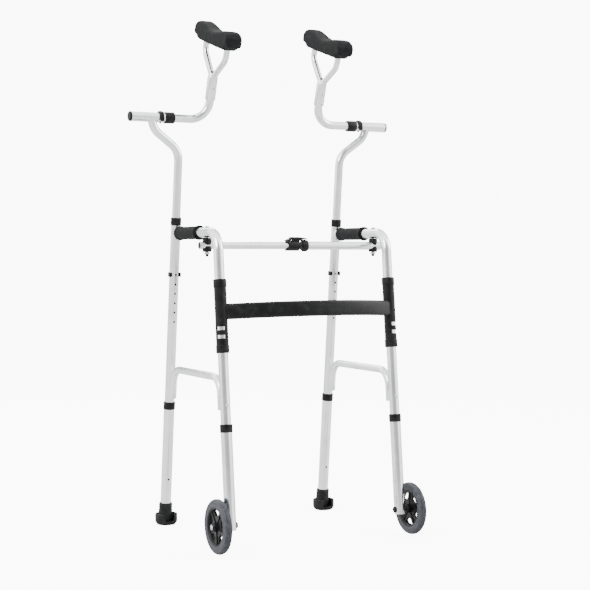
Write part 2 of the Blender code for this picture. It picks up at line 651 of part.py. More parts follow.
def clasp(finishes, right_body, left_body, latch_body):
    """The collar on the right bar, the cap on the left bar and the latch lever that bridges them."""
    centre = at(0, BAR_Y, BAR_Z)
    low, high = CLASP_COLLAR_X
    socket = high - 5.5 * MM
    bore = RIGHT_BAR_R + GAP
    profile = [
        (bore, low),
        (CLASP_COLLAR_R - 1 * MM, low),
        (CLASP_COLLAR_R, low + 1 * MM),
        (CLASP_COLLAR_R, high - CLASP_CHAMFER),
        (CLASP_COLLAR_R - CLASP_CHAMFER, high),
        (0, high),
        (0, socket),
        (bore, socket),
    ]
    ring = turned(profile, place(centre, X_AXIS), 20)
    collar = piece(ring, "clasp_collar", finishes["plastic"], right_body)
    pivot = centre + X_AXIS * LEVER_PIVOT_X + Z_AXIS * LEVER_RISE
    ear_half, ear_thick, lever_width = 3 * MM, 2.4 * MM, 16 * MM
    ear_y = lever_width / 2 + GAP + ear_thick / 2
    for way in (-1, 1):
        ear_centre = pivot + Y_AXIS * way * ear_y - Z_AXIS * 4 * MM
        combine(collar, "UNION", block((2 * ear_half, ear_thick, 13 * MM), ear_centre))
    reach = Y_AXIS * (ear_y + ear_thick)
    combine(collar, "DIFFERENCE", rod(1.4 * MM + GAP, pivot - reach, pivot + reach, 10))

    low, high = CLASP_CAP_X
    socket = low + 5 * MM
    bore = LEFT_BAR_R + GAP
    profile = [
        (0, low),
        (CLASP_CAP_R - CLASP_CHAMFER, low),
        (CLASP_CAP_R, low + CLASP_CHAMFER),
        (CLASP_CAP_R, high - 1 * MM),
        (CLASP_CAP_R - 1 * MM, high),
        (bore, high),
        (bore, socket),
        (0, socket),
    ]
    piece(turned(profile, place(centre, X_AXIS), 20), "clasp_cap", finishes["plastic"], left_body)

    side_view = [(-8, 16.8), (40, 16.8), (40.5, 17.6), (30, 19.2), (10, 20.9), (-2, 20.9), (-7, 19.6)]
    side_view = [(x * MM, z * MM) for x, z in side_view]
    lever = extruded(side_view, lever_width, Matrix.Translation(centre))
    lever = piece(lever, "latch_lever", finishes["plastic"], latch_body)
    pin_half = Y_AXIS * (ear_y + ear_thick / 2)
    combine(lever, "UNION", rod(1.4 * MM, pivot - pin_half, pivot + pin_half, 10))


# ---- Crutches ----


def clip(name, plastic, body, centre, along, pin_way, pin_reach):
    """A U-shaped band round a tube with a pin in its middle; its arms leave the far side open."""
    inner, outer, half_width, arm = TUBE_R + 0.5 * MM, 16.3 * MM, 5.5 * MM, 11 * MM
    points = [(inner, -arm), (outer, -arm + 1.5 * MM)]
    steps = 7
    for step in range(steps + 1):
        angle = math.pi * step / steps
        points.append((outer * math.cos(angle), outer * math.sin(angle)))
    points += [(-outer, -arm + 1.5 * MM), (-inner, -arm)]
    for step in range(steps + 1):
        angle = math.pi - math.pi * step / steps
        points.append((inner * math.cos(angle), inner * math.sin(angle)))
    matrix = place(centre, pin_way, along.cross(pin_way))
    band = piece(extruded(points, 2 * half_width, matrix), name, plastic, body)
    pin_tip, pin_root = centre - pin_way * pin_reach, centre + pin_way * (outer - 0.5 * MM)
    combine(band, "UNION", rod(PIN_R, pin_tip, pin_root, 12))


def crutch_tube(name, side, finishes, body):
    """The tube in the rear post, bent out and up to the cross tube that is welded on top of it."""
    start = on_rear_post(side, CRUTCH_FOOT_Z)
    low = on_rear_post(side, S_BEND_LOW_Z)
    high = on_rear_post(side, S_BEND_HIGH_Z)
    high.x = side * S_BEND_HIGH_X
    top = cross_centre(side, CROSS_JOINT_X)
    out, up = (high - low).normalized(), (top - high).normalized()
    first_turn, second_turn = REAR_UP.angle(out), out.angle(up)
    first_back, second_back = BEND_R * math.tan(first_turn / 2), BEND_R * math.tan(second_turn / 2)
    moves = [
        (low - start).length - first_back,
        (BEND_R, first_turn, out),
        (high - low).length - first_back - second_back,
        (BEND_R, second_turn, up),
        (top - high).length - second_back,
    ]
    bent = bent_tube(start, REAR_UP, moves, CRUTCH_R, CRUTCH_BORE)
    crutch = piece(bent, f"{name}_crutch_tube", finishes["aluminium"], body)
    inner, outer = cross_centre(side, CROSS_INNER_X), cross_centre(side, CROSS_OUTER_X)
    combine(crutch, "DIFFERENCE", rod(TUBE_R - 0.6 * MM, inner, outer, TUBE_SIDES))
    combine(crutch, "UNION", straight_tube(inner, outer, TUBE_R, TUBE_BORE))
    height_pin = on_rear_post(side, HEIGHT_PIN_Z)
    width_pin = cross_centre(side, WIDTH_PIN_X)
    combine(
        crutch,
        "DIFFERENCE",
        rod(HOLE_R, height_pin - REAR_BACK * 20 * MM, height_pin + REAR_BACK * 20 * MM, HOLE_SIDES),
        rod(HOLE_R, width_pin - Z_AXIS * 20 * MM, width_pin + Z_AXIS * 20 * MM, HOLE_SIDES),
    )
    out = X_AXIS * side
    tube_collar(
        f"{name}_cross_collar",
        finishes["plastic"],
        body,
        inner,
        -out,
        TUBE_R,
        CRUTCH_R,
        CROSS_COLLAR_R,
        CROSS_COLLAR_LENGTH,
    )
    cap = [(0, -13 * MM), (TUBE_BORE - GAP, -13 * MM), (TUBE_BORE - GAP, GAP), (13.2 * MM, GAP)]
    cap += [(13.2 * MM, 4 * MM), (11 * MM, 6 * MM), (0, 6 * MM)]
    piece(turned(cap, place(outer, out)), f"{name}_cross_end_cap", finishes["plastic"], body)


def armpit_tube(name, side, aluminium, body):
    """A tube that slides in the cross tube and turns up to carry the armpit rest."""
    start = cross_centre(side, ARMPIT_TUBE_END_X)
    straight = ARMPIT_TUBE_END_X - ARMPIT_X - BEND_R
    moves = [straight, (BEND_R, math.pi / 2, LEAN_UP), STEM_TOP - BEND_R]
    bent = bent_tube(start, X_AXIS * -side, moves, CRUTCH_R, CRUTCH_BORE)
    tube = piece(bent, f"{name}_armpit_tube", aluminium, body)
    holes = []
    for step in range(-WIDTH_STEPS_OUT, WIDTH_STEPS_IN + 1):
        middle = cross_centre(side, WIDTH_PIN_X + WIDTH_PITCH * step)
        holes.append(rod(HOLE_R, middle - Z_AXIS * 20 * MM, middle + Z_AXIS * 20 * MM, HOLE_SIDES))
    for height in RIVET_HEIGHTS:
        middle = on_armpit(side, 0, height)
        holes.append(rod(HOLE_R, middle - LEAN_BACK * 20 * MM, middle + LEAN_BACK * 20 * MM, HOLE_SIDES))
    combine(tube, "DIFFERENCE", *holes)


def fork_half(name, side, way, aluminium, body):
    """Half a clamp round the stem that closes over it and runs into a prong up to the rest."""
    root = STEM_TOP + 1.5 * MM
    top = SHELL_HIGH - SHELL_LOW
    cup = [
        (CRUTCH_R + GAP, 0),
        (SHELL_R, 0),
        (SHELL_R, top - 4 * MM),
        (SHELL_R - 3 * MM, top),
        (0, top),
        (0, root - SHELL_LOW),
        (CRUTCH_R + GAP, root - SHELL_LOW),
    ]
    shell = turned(cup, place(on_armpit(side, 0, SHELL_LOW), LEAN_UP), TUBE_SIDES)
    half = piece(shell, name, aluminium, body)
    split = GAP / 2 + 0.2 * MM
    start = on_armpit(side, way * PRONG_R, root + PRONG_R)
    bend_at = on_armpit(side, way * PRONG_SPREAD, PRONG_BEND)
    heading = (bend_at - start).normalized()
    turn = heading.angle(LEAN_UP)
    setback = PRONG_BEND_R * math.tan(turn / 2)
    moves = [
        (bend_at - start).length - setback,
        (PRONG_BEND_R, turn, LEAN_UP),
        PRONG_TOP - PRONG_BEND - setback,
    ]
    combine(half, "UNION", bent_tube(start, heading, moves, PRONG_R, sides=12))
    beyond = place(on_armpit(side, -way * (30 * MM - split), 90 * MM), LEAN_UP, X_AXIS)
    combine(half, "DIFFERENCE", block((60 * MM, 60 * MM, 120 * MM), (0, 0, 0), beyond))
    holes = []
    for height in RIVET_HEIGHTS:
        middle = on_armpit(side, 0, height)
        holes.append(rod(HOLE_R, middle, middle + LEAN_BACK * way * 20 * MM, HOLE_SIDES))
    combine(half, "DIFFERENCE", *holes)


def armpit_rest(name, side, finishes, body):
    """The two fork halves, the rivets through the stem and the padded rest on top."""
    fork_half(f"{name}_fork_front", side, -1, finishes["aluminium"], body)
    fork_half(f"{name}_fork_rear", side, 1, finishes["aluminium"], body)
    for part, height in zip(("lower", "upper"), RIVET_HEIGHTS):
        reach = LEAN_BACK * (SHELL_R + GAP)
        middle = on_armpit(side, 0, height)
        rivet = headed_rivet(middle - reach, middle + reach)
        piece(rivet, f"{name}_fork_rivet_{part}", finishes["steel"], body)
    armpit_pad(name, side, finishes["foam"], body)


def armpit_pad(name, side, foam, body):
    """A long rest with a dip in its middle, a hump near each end and a socket for each prong."""
    bm = bmesh.new()
    bmesh.ops.create_cube(bm, size=2)
    bmesh.ops.subdivide_edges(bm, edges=bm.edges[:], cuts=4, use_grid_fill=True)
    for vert in bm.verts:
        along, across, height = vert.co
        round_end = math.sqrt(max(0.0, 1 - 0.42 * abs(along) ** 6))
        corner = math.sqrt(max(0.0, 1 - 0.36 * abs(height) ** 4))
        side_corner = math.sqrt(max(0.0, 1 - 0.36 * abs(across) ** 4))
        reach = PAD_HALF_LENGTH * along * (1 - 0.05 * height**4) * (1 - 0.05 * across**4)
        dip = min(1.0, abs(reach) / PAD_HUMP_AT)
        top = PAD_SADDLE + (PAD_HUMP - PAD_SADDLE) * (0.5 - 0.5 * math.cos(math.pi * dip))
        fall = 9 * MM * max(0.0, abs(along) - 0.8) / 0.2
        bottom = PAD_LOW + 10 * MM * max(0.0, abs(along) - 0.75) / 0.25
        level = (height * side_corner * round_end + 1) / 2
        vert.co = Vector(
            (across * PAD_HALF_WIDTH * corner * round_end, reach, bottom + (top - fall - bottom) * level)
        )
    bmesh.ops.transform(bm, matrix=place(on_armpit(side, 0, 0), LEAN_UP, X_AXIS), verts=bm.verts[:])
    pad = piece(bm, f"{name}_armpit_pad", foam, body)
    sockets = []
    for way in (-1, 1):
        low = on_armpit(side, way * PRONG_SPREAD, PRONG_BEND + 5 * MM)
        sockets.append(rod(PRONG_R + GAP, low, on_armpit(side, way * PRONG_SPREAD, PRONG_TOP + GAP), 12))
    combine(pad, "DIFFERENCE", *sockets)


# ---- The whole walker ----


def make_pivots():
    """One empty for each moving body, on its joint's axis; each hangs from its parent's."""
    root = on_front_leg(0, BRACE_ARC_Z)
    tree = {"base": (None, root)}
    for name, side in SIDES.items():
        tree[f"{name}_frame"] = ("base", on_front_leg(side, SLEEVE_LOW_Z))
        tree[f"{name}_bar"] = (f"{name}_frame", at(side * FRAME_X, BAR_Y, BAR_Z))
        tree[f"{name}_crutch"] = (f"{name}_frame", on_rear_post(side, HEIGHT_PIN_Z))
        tree[f"{name}_height_clip"] = (f"{name}_crutch", on_rear_post(side, HEIGHT_PIN_Z))
        tree[f"{name}_width_clip"] = (f"{name}_crutch", cross_centre(side, WIDTH_PIN_X))
        tree[f"{name}_armpit"] = (f"{name}_crutch", cross_centre(side, ARMPIT_X))
        tree[f"{name}_front_leg"] = (f"{name}_frame", on_front_leg(side, FRONT_LEG_TOP_Z))
        tree[f"{name}_rear_leg"] = (f"{name}_frame", on_rear_post(side, REAR_LEG_TOP_Z))
        tree[f"{name}_wheel"] = (f"{name}_front_leg", at(side * WHEEL_X, AXLE_Y, AXLE_Z))
    lever = at(LEVER_PIVOT_X, BAR_Y, BAR_Z + LEVER_RISE)
    tree["latch"] = ("right_bar", lever)
    for name, (parent, pivot) in tree.items():
        empty = bpy.data.objects.new(f"{name}_joint", None)
        empty.empty_display_size = 0.02
        bpy.context.scene.collection.objects.link(empty)
        empty.location = pivot
        if parent:
            empty.parent = bpy.data.objects[f"{parent}_joint"]
            empty.matrix_parent_inverse = Matrix.Translation(-tree[parent][1])
    return {name: pivot for name, (parent, pivot) in tree.items()}


def build_side(name, side, finishes):
    frame, crutch = f"{name}_frame", f"{name}_crutch"
    front_leg_tube(name, side, finishes["aluminium"], frame)
    rear_post(name, side, finishes["aluminium"], frame)
    side_brace(name, side, finishes["aluminium"], frame)
    hand_grip(name, side, finishes["foam"], frame)
    tube_collar(
        f"{name}_post_collar",
        finishes["plastic"],
        frame,
        on_rear_post(side, POST_TOP_Z),
        REAR_UP,
        TUBE_R,
        CRUTCH_R,
        TUBE_R + GAP + 1 * MM,
    )
    front_leg(name, side, finishes, f"{name}_front_leg", f"{name}_wheel")
    rear_leg(name, side, finishes, f"{name}_rear_leg")
    crutch_tube(name, side, finishes, crutch)
    height_at, width_at = on_rear_post(side, HEIGHT_PIN_Z), cross_centre(side, WIDTH_PIN_X)
    plastic = finishes["plastic"]
    height_clip, width_clip = f"{name}_height_clip", f"{name}_width_clip"
    clip(height_clip, plastic, height_clip, height_at, REAR_UP, REAR_BACK, CRUTCH_R - GAP)
    clip(width_clip, plastic, width_clip, width_at, X_AXIS, Z_AXIS, TUBE_R + 3 * MM)
    armpit_tube(name, side, finishes["aluminium"], f"{name}_armpit")
    armpit_rest(name, side, finishes, f"{name}_armpit")


for old in list(bpy.data.objects):
    bpy.data.objects.remove(old)

finishes = {
    "aluminium": material("anodised aluminium", (0.72, 0.73, 0.74), 0.32, 1.0),
    "steel": material("zinc-plated steel", (0.55, 0.56, 0.58), 0.3, 1.0),
    "plastic": material("black moulded plastic", (0.012, 0.012, 0.013), 0.42, 0.0),
    "foam": material("black foam", (0.016, 0.016, 0.018), 0.75, 0.0),
    "rubber": material("black rubber", (0.014, 0.014, 0.015), 0.6, 0.0),
    "tyre": material("grey rubber", (0.09, 0.092, 0.1), 0.7, 0.0),
}
pivots = make_pivots()
front_brace(finishes["plastic"], "base")
for side_name, side_sign in SIDES.items():
    build_side(side_name, side_sign, finishes)
bar_half("right", SIDES["right"], RIGHT_BAR_R, CLASP_COLLAR_X[1] - 6 * MM, finishes, "right_bar")
bar_half("left", SIDES["left"], LEFT_BAR_R, CLASP_CAP_X[0] + 5.5 * MM, finishes, "left_bar")
clasp(finishes, "right_bar", "left_bar", "latch")
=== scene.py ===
import json
import math

import bmesh
import bpy
from mathutils import Matrix, Vector, noise

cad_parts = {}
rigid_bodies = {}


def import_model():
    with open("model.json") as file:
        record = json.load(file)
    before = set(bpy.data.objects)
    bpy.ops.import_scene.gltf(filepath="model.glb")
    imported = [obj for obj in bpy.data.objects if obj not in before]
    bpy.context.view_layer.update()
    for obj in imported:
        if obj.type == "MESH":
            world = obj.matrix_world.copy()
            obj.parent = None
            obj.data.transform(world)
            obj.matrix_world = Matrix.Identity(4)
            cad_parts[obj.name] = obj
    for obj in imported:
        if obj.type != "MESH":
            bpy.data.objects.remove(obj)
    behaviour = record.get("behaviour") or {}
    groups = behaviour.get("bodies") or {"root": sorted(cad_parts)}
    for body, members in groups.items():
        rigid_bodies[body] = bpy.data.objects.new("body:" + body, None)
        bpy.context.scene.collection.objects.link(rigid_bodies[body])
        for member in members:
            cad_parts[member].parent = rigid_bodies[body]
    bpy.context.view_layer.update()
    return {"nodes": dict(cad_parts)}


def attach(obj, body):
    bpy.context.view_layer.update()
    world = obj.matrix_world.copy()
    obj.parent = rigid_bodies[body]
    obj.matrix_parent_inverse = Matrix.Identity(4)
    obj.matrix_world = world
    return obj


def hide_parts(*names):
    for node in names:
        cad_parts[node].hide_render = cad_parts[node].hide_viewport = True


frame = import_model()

print("frame:", len(frame["nodes"]), "nodes")

mm = 0.001
xAxis, yAxis, zAxis = Vector((1, 0, 0)), Vector((0, 1, 0)), Vector((0, 0, 1))
sides = {"right": -1, "left": 1}  # the user's right is at -X

# the lines that the whole walker hangs on, in millimetres
walker = {
    "frameX": 241.3,
    "frontFloorY": -196.003,
    "frontSlope": 0.1038,
    "rearFloorY": 235.497,
    "rearSlope": -0.1019,
    "handleZ": 783.6,
    "innerTubeEndZ": 140.0,
    "gap": 0.3,
    "tubeSides": 64,
    "bendStep": 4.0,
}
tubeSizes = {"frame": (12.7, 11.3), "leg": (14.3, 13.0), "crutch": (11.0, 9.6)}
gap = walker["gap"]
frontUp = Vector((0, walker["frontSlope"], 1)).normalized()
rearUp = Vector((0, walker["rearSlope"], 1)).normalized()
frontBack, rearBack = frontUp.cross(xAxis), rearUp.cross(xAxis)


def at(x, y, z):
    return Vector((x * mm, y * mm, z * mm))


def onFrontLeg(side, z):
    return at(side * walker["frameX"], walker["frontFloorY"] + walker["frontSlope"] * z, z)


def onRearPost(side, z):
    return at(side * walker["frameX"], walker["rearFloorY"] + walker["rearSlope"] * z, z)


# ways of making a shape

def placeAlong(origin, direction, across=None):
    up = direction.normalized()
    if across is None:
        across = xAxis if abs(up.x) < 0.9 else yAxis
    right = (across - up * across.dot(up)).normalized()
    turn = Matrix((right, up.cross(right), up)).transposed()
    return Matrix.Translation(origin) @ turn.to_4x4()


# a closed wire in X and Z; a third number rounds that corner
def outlineOf(points):
    bm = bmesh.new()
    corners = [bm.verts.new((point[0] * mm, 0, point[1] * mm)) for point in points]
    for first, second in zip(corners, corners[1:] + corners[:1]):
        bm.edges.new((first, second))
    rounded = {}
    for corner, point in zip(corners, points):
        if len(point) > 2:
            rounded.setdefault(point[2], []).append(corner)
    for radius, verts in rounded.items():
        bmesh.ops.bevel(
            bm, geom=verts, offset=radius * mm, offset_type="OFFSET", affect="VERTICES", segments=4,
            profile=0.5, material=-1, clamp_overlap=True,
        )
    return bm


def turned(points, matrix, steps=64):
    bm = outlineOf(points)
    bmesh.ops.spin(
        bm, geom=bm.verts[:] + bm.edges[:], cent=(0, 0, 0), axis=(0, 0, 1), dvec=(0, 0, 0),
        angle=math.tau, steps=steps, use_merge=True, use_duplicate=False,
    )
    bmesh.ops.remove_doubles(bm, verts=bm.verts[:], dist=2e-6)
    bmesh.ops.dissolve_degenerate(bm, edges=bm.edges[:], dist=1e-6)
    bmesh.ops.delete(bm, geom=[edge for edge in bm.edges if not edge.link_faces], context="EDGES")
    bmesh.ops.transform(bm, matrix=matrix, verts=bm.verts[:])
    return bm


# an outline in X and Z made thick along its own Y
def extruded(points, thickness, matrix):
    bm = outlineOf(points)
    face = bmesh.ops.contextual_create(bm, geom=bm.edges[:])["faces"]
    bmesh.ops.translate(bm, vec=(0, -thickness / 2 * mm, 0), verts=bm.verts[:])
    made = bmesh.ops.extrude_face_region(bm, geom=face)["geom"]
    moved = [item for item in made if isinstance(item, bmesh.types.BMVert)]
    bmesh.ops.translate(bm, vec=(0, thickness * mm, 0), verts=moved)
    bmesh.ops.transform(bm, matrix=matrix, verts=bm.verts[:])
    return bm


def rod(radius, start, end, steps=32):
    bm = bmesh.new()
    bmesh.ops.create_cone(
        bm, cap_ends=True, segments=steps, radius1=radius * mm, radius2=radius * mm,
        depth=(end - start).length, matrix=placeAlong((start + end) / 2, end - start),
    )
    return bm


def block(size, matrix):
    bm = bmesh.new()
    bmesh.ops.create_cube(bm, size=1)
    bmesh.ops.scale(bm, vec=[length * mm for length in size], verts=bm.verts[:])
    bmesh.ops.transform(bm, matrix=matrix, verts=bm.verts[:])
    return bm


def facesIn(geometry):
    return [item for item in geometry if isinstance(item, bmesh.types.BMFace)]


# faces with their edges and corners, so that extruding them leaves no face behind
def withRim(faces):
    edges, verts = {edge for face in faces for edge in face.edges}, {vert for face in faces for vert in face.verts}
    return faces + list(edges | verts)


# a tube as a bender makes it: each move is a length, or (radius, angle, direction) of a bend
def bentTube(start, heading, moves, outer, inner=0.0):
    bm = bmesh.new()
    ringSides = walker["tubeSides"]
    bmesh.ops.create_circle(bm, cap_ends=not inner, radius=outer * mm, segments=ringSides)
    if inner:
        bmesh.ops.create_circle(bm, radius=inner * mm, segments=ringSides)
        bmesh.ops.bridge_loops(bm, edges=bm.edges[:])
    matrix = placeAlong(start, heading)
    bmesh.ops.transform(bm, matrix=matrix, verts=bm.verts[:])
    point, heading, across = start.copy(), heading.normalized(), matrix.col[0].xyz.copy()
    travelled, unrolled, end = 0.0, {}, bm.faces[:]

    def noteRing():
        for vert in {vert for face in end for vert in face.verts}:
            offset = vert.co - point
            angle = math.atan2(offset.dot(heading.cross(across)), offset.dot(across))
            unrolled[vert] = (angle * outer * mm, travelled)

    noteRing()
    for move in moves:
        if not isinstance(move, tuple):
            growing = withRim(end) if len(bm.faces) > len(end) else end
            end = facesIn(bmesh.ops.extrude_face_region(bm, geom=growing)["geom"])
            bmesh.ops.translate(bm, vec=heading * move * mm, verts=list({v for f in end for v in f.verts}))
            point += heading * move * mm
            travelled += move * mm
            noteRing()
            continue
        radius, angle, direction = move
        toward = (direction - heading * direction.dot(heading)).normalized()
        centre, axis = point + toward * radius * mm, heading.cross(toward)
        steps = max(2, round(math.degrees(angle) / walker["bendStep"]))
        turn = Matrix.Rotation(angle / steps, 3, axis)
        for step in range(steps):
            spun = bmesh.ops.spin(
                bm, geom=withRim(end), cent=centre, axis=axis, dvec=(0, 0, 0), angle=angle / steps,
                steps=1, use_duplicate=False,
            )
            end = facesIn(spun["geom_last"])
            point, heading, across = centre + turn @ (point - centre), turn @ heading, turn @ across
            travelled += radius * mm * angle / steps
            noteRing()
    lengthwise = bm.loops.layers.uv.new("lengthwise")  # round the tube, and along it, in metres
    fullTurn = math.tau * outer * mm
    for face in bm.faces:
        first = unrolled[face.verts[0]][0]
        for loop in face.loops:
            around, along = unrolled[loop.vert]
            loop[lengthwise].uv = (around + fullTurn * round((first - around) / fullTurn), along)
    return bm


def straightTube(start, end, outer, inner):
    return bentTube(start, end - start, [(end - start).length / mm], outer, inner)


def addObject(bm, name):
    bmesh.ops.recalc_face_normals(bm, faces=bm.faces[:])
    mesh = bpy.data.meshes.new(name)
    bm.to_mesh(mesh)
    bm.free()
    made = bpy.data.objects.new(name, mesh)
    bpy.context.scene.collection.objects.link(made)
    return made


def applyAll(piece):
    graph = bpy.context.evaluated_depsgraph_get()
    made = bpy.data.meshes.new_from_object(piece.evaluated_get(graph))
    piece.modifiers.clear()
    piece.data = made


# joins and cuts in the order given, softens the edges, then hands the piece to its body
def makePiece(bm, name, body, finish, nodes=(), steps=(), soften=0.0):
    piece = addObject(bm, name)
    helpers = []
    for operation, shape in steps:
        helper = addObject(shape, "helper")
        helpers.append(helper)
        modifier = piece.modifiers.new("shape", "BOOLEAN")
        modifier.operation, modifier.solver, modifier.object = operation, "EXACT", helper
    if soften:
        modifier = piece.modifiers.new("edges", "BEVEL")
        modifier.width, modifier.segments = soften * mm, 2
        modifier.limit_method, modifier.angle_limit = "ANGLE", math.radians(40)
    if piece.modifiers:
        applyAll(piece)
    for helper in helpers:
        bpy.data.objects.remove(helper)
    return handOver(piece, body, finish, nodes)


def handOver(piece, body, finish, nodes=()):
    piece.data.name = piece.name
    piece.data.shade_smooth()
    piece.data.set_sharp_from_angle(angle=math.radians(35))
    piece.data.materials.clear()
    piece.data.materials.append(finishes[finish])
    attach(piece, body)
    if nodes:
        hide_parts(*nodes)
    return piece


join, cut = "UNION", "DIFFERENCE"


def drilled(middle, way, radius, reach=20, steps=32):
    return cut, rod(radius, middle - way * reach * mm, middle + way * reach * mm, steps)


# materials

def linearColour(hexText):
    shares = [int(hexText[start:start + 2], 16) / 255 for start in (1, 3, 5)]
    return tuple(v / 12.92 if v <= 0.04045 else ((v + 0.055) / 1.055) ** 2.4 for v in shares) + (1.0,)


# one node with its settings; each input is a value, an output, or a node whose first output is meant
def addNode(material, kind, inputs=None, ramp=None, **settings):
    node = material.node_tree.nodes.new(kind)
    for key, value in settings.items():
        setattr(node, key, value)
    if ramp:
        stops = node.color_ramp.elements
        for stop, (position, hexText) in zip((stops[0], stops[1]), (ramp[0], ramp[-1])):
            stop.position, stop.color = position, linearColour(hexText)
        for position, hexText in ramp[1:-1]:
            stops.new(position).color = linearColour(hexText)
    for key, value in (inputs or {}).items():
        value = value.outputs[0] if isinstance(value, bpy.types.Node) else value
        if isinstance(value, bpy.types.NodeSocket):
            material.node_tree.links.new(value, node.inputs[key])
        else:
            node.inputs[key].default_value = value
    return node


def startMaterial(name):
    material = bpy.data.materials.new(name)
    material.use_nodes = True
    return material, material.node_tree.nodes["Principled BSDF"]


def perMetre(millimetres):
    return 1000 / millimetres


def feedShader(material, shader, tone, rough, bump):
    for key, node in {"Base Color": tone, "Roughness": rough, "Normal": bump}.items():
        material.node_tree.links.new(node.outputs[0], shader.inputs[key])


# satin anodised aluminium tube: etched grain dulls the shine, and the draw lines run lengthwise
def anodisedAluminium(look):
    material, shader = startMaterial("anodised aluminium")
    space = addNode(material, "ShaderNodeTexCoord").outputs["Object"]
    stretch = (perMetre(look["lineSpacing"]), perMetre(look["lineLength"]), 1)
    tubeSpace = addNode(material, "ShaderNodeUVMap", uv_map="lengthwise")
    drawn = addNode(material, "ShaderNodeMapping", {"Vector": tubeSpace, "Scale": stretch})
    lines = addNode(material, "ShaderNodeTexNoise", {"Vector": drawn, "Scale": 1.0, "Detail": 3.0})
    handling = {"Vector": space, "Scale": perMetre(look["handling"]), "Detail": 4.0}
    cloud = addNode(material, "ShaderNodeTexNoise", handling)
    etching = {"Vector": space, "Scale": perMetre(look["grain"]), "Detail": 2.0}
    grain = addNode(material, "ShaderNodeTexNoise", etching)
    stops = [(0.3, look["shade"]), (0.7, look["light"])]
    tone = addNode(material, "ShaderNodeValToRGB", {"Fac": cloud}, ramp=stops)
    mixed = addNode(material, "ShaderNodeMath", {0: lines, 1: cloud}, operation="ADD")
    low, high = look["rough"]
    rough = addNode(material, "ShaderNodeMapRange",
                    {"Value": mixed, "From Min": 0.6, "From Max": 1.4, "To Min": low, "To Max": high})
    relief = addNode(material, "ShaderNodeMath", {0: lines, 1: grain}, operation="ADD")
    bump = addNode(material, "ShaderNodeBump",
                   {"Strength": look["bump"], "Distance": look["relief"] * mm, "Height": relief})
    feedShader(material, shader, tone, rough, bump)
    shader.inputs["Metallic"].default_value = 1.0
    return material


# the rest share one build: a colour that drifts, a roughness that drifts, and a fine relief
def surface(name, look):
    material, shader = startMaterial(name)
    space = addNode(material, "ShaderNodeTexCoord").outputs["Object"]
    clouds = {"Vector": space, "Scale": perMetre(look["drift"]), "Detail": 5.0}
    drift = addNode(material, "ShaderNodeTexNoise", clouds)
    texture = {"Vector": space, "Scale": perMetre(look["grain"])}
    if look.get("pores"):
        fine = addNode(material, "ShaderNodeTexVoronoi", texture, feature="SMOOTH_F1")
    else:
        fine = addNode(material, "ShaderNodeTexNoise", {**texture, "Detail": 3.0})
    blend = addNode(material, "ShaderNodeMath", {0: fine, 1: 0.25, 2: drift}, operation="MULTIPLY_ADD")
    stops = [(0.42, look["shade"]), (0.62, look["body"]), (0.8, look["light"])]
    tone = addNode(material, "ShaderNodeValToRGB", {"Fac": blend}, ramp=stops)
    low, high = look["rough"]
    rough = addNode(material, "ShaderNodeMapRange",
                    {"Value": drift, "From Min": 0.3, "From Max": 0.7, "To Min": low, "To Max": high})
    bump = addNode(material, "ShaderNodeBump",
                   {"Strength": look["bump"], "Distance": look["relief"] * mm, "Height": fine})
    feedShader(material, shader, tone, rough, bump)
    shader.inputs["Metallic"].default_value = look.get("metallic", 0.0)
    if not look.get("metallic"):
        shader.inputs["IOR"].default_value = look["ior"]
    if look.get("sheen"):
        shader.inputs["Sheen Weight"].default_value = look["sheen"]
        shader.inputs["Sheen Roughness"].default_value = 0.5
    return material


looks = {
    # satin silver: 0.6 mm draw lines and 0.4 mm etch grain, coarser than real ones so that they show
    "aluminium": {
        "light": "#DCDDDE", "shade": "#CFD1D2", "rough": (0.15, 0.24), "lineSpacing": 0.6, "lineLength": 60.0,
        "handling": 45.0, "grain": 0.4, "bump": 0.35, "relief": 0.02,
    },
    # bright zinc: bluish, with a soft passivated bloom a few millimetres across
    "steel": {
        "light": "#C9CDD0", "body": "#BEC2C5", "shade": "#A9ADB1", "rough": (0.2, 0.34), "drift": 6.0, "grain": 0.5,
        "bump": 0.15, "relief": 0.02, "metallic": 1.0,
    },
    # near-black moulded nylon: a half-matt shine broken by a fine 0.6 mm mould grain
    "plastic": {
        "light": "#161718", "body": "#0D0D0E", "shade": "#090909", "rough": (0.34, 0.46), "drift": 18.0, "grain": 0.6,
        "bump": 0.25, "relief": 0.05, "ior": 1.22,
    },
    # closed-cell foam with a skin: dull, slightly green-grey, pores about 0.8 mm across
    "foam": {
        "light": "#1E2020", "body": "#151617", "shade": "#0F1010", "rough": (0.72, 0.88), "drift": 14.0, "grain": 0.8,
        "bump": 0.5, "relief": 0.12, "ior": 1.16, "pores": True, "sheen": 0.01,
    },
    # moulded rubber: a dusty bloom over black
    "rubber": {
        "light": "#1D1E1F", "body": "#131414", "shade": "#0D0E0E", "rough": (0.46, 0.62), "drift": 12.0, "grain": 0.7,
        "bump": 0.3, "relief": 0.06, "ior": 1.22,
    },
    # solid grey rubber tyre: dark bluish grey with scuffed lighter patches
    "tyre": {
        "light": "#3C3D43", "body": "#2F3036", "shade": "#26272C", "rough": (0.42, 0.6), "drift": 10.0, "grain": 0.7,
        "bump": 0.3, "relief": 0.06, "ior": 1.3,
    },
}
materialNames = {
    "steel": "zinc-plated steel", "plastic": "black moulded nylon", "foam": "black skinned foam",
    "rubber": "black moulded rubber", "tyre": "grey solid rubber",
}
finishes = {slotName: surface(name, looks[slotName]) for slotName, name in materialNames.items()}
finishes["aluminium"] = anodisedAluminium(looks["aluminium"])
print("materials:", len(finishes))


# rivets and collars, used all over

rivetLook = {"shankR": 2.5, "headR": 4.6, "headHeight": 2.2}


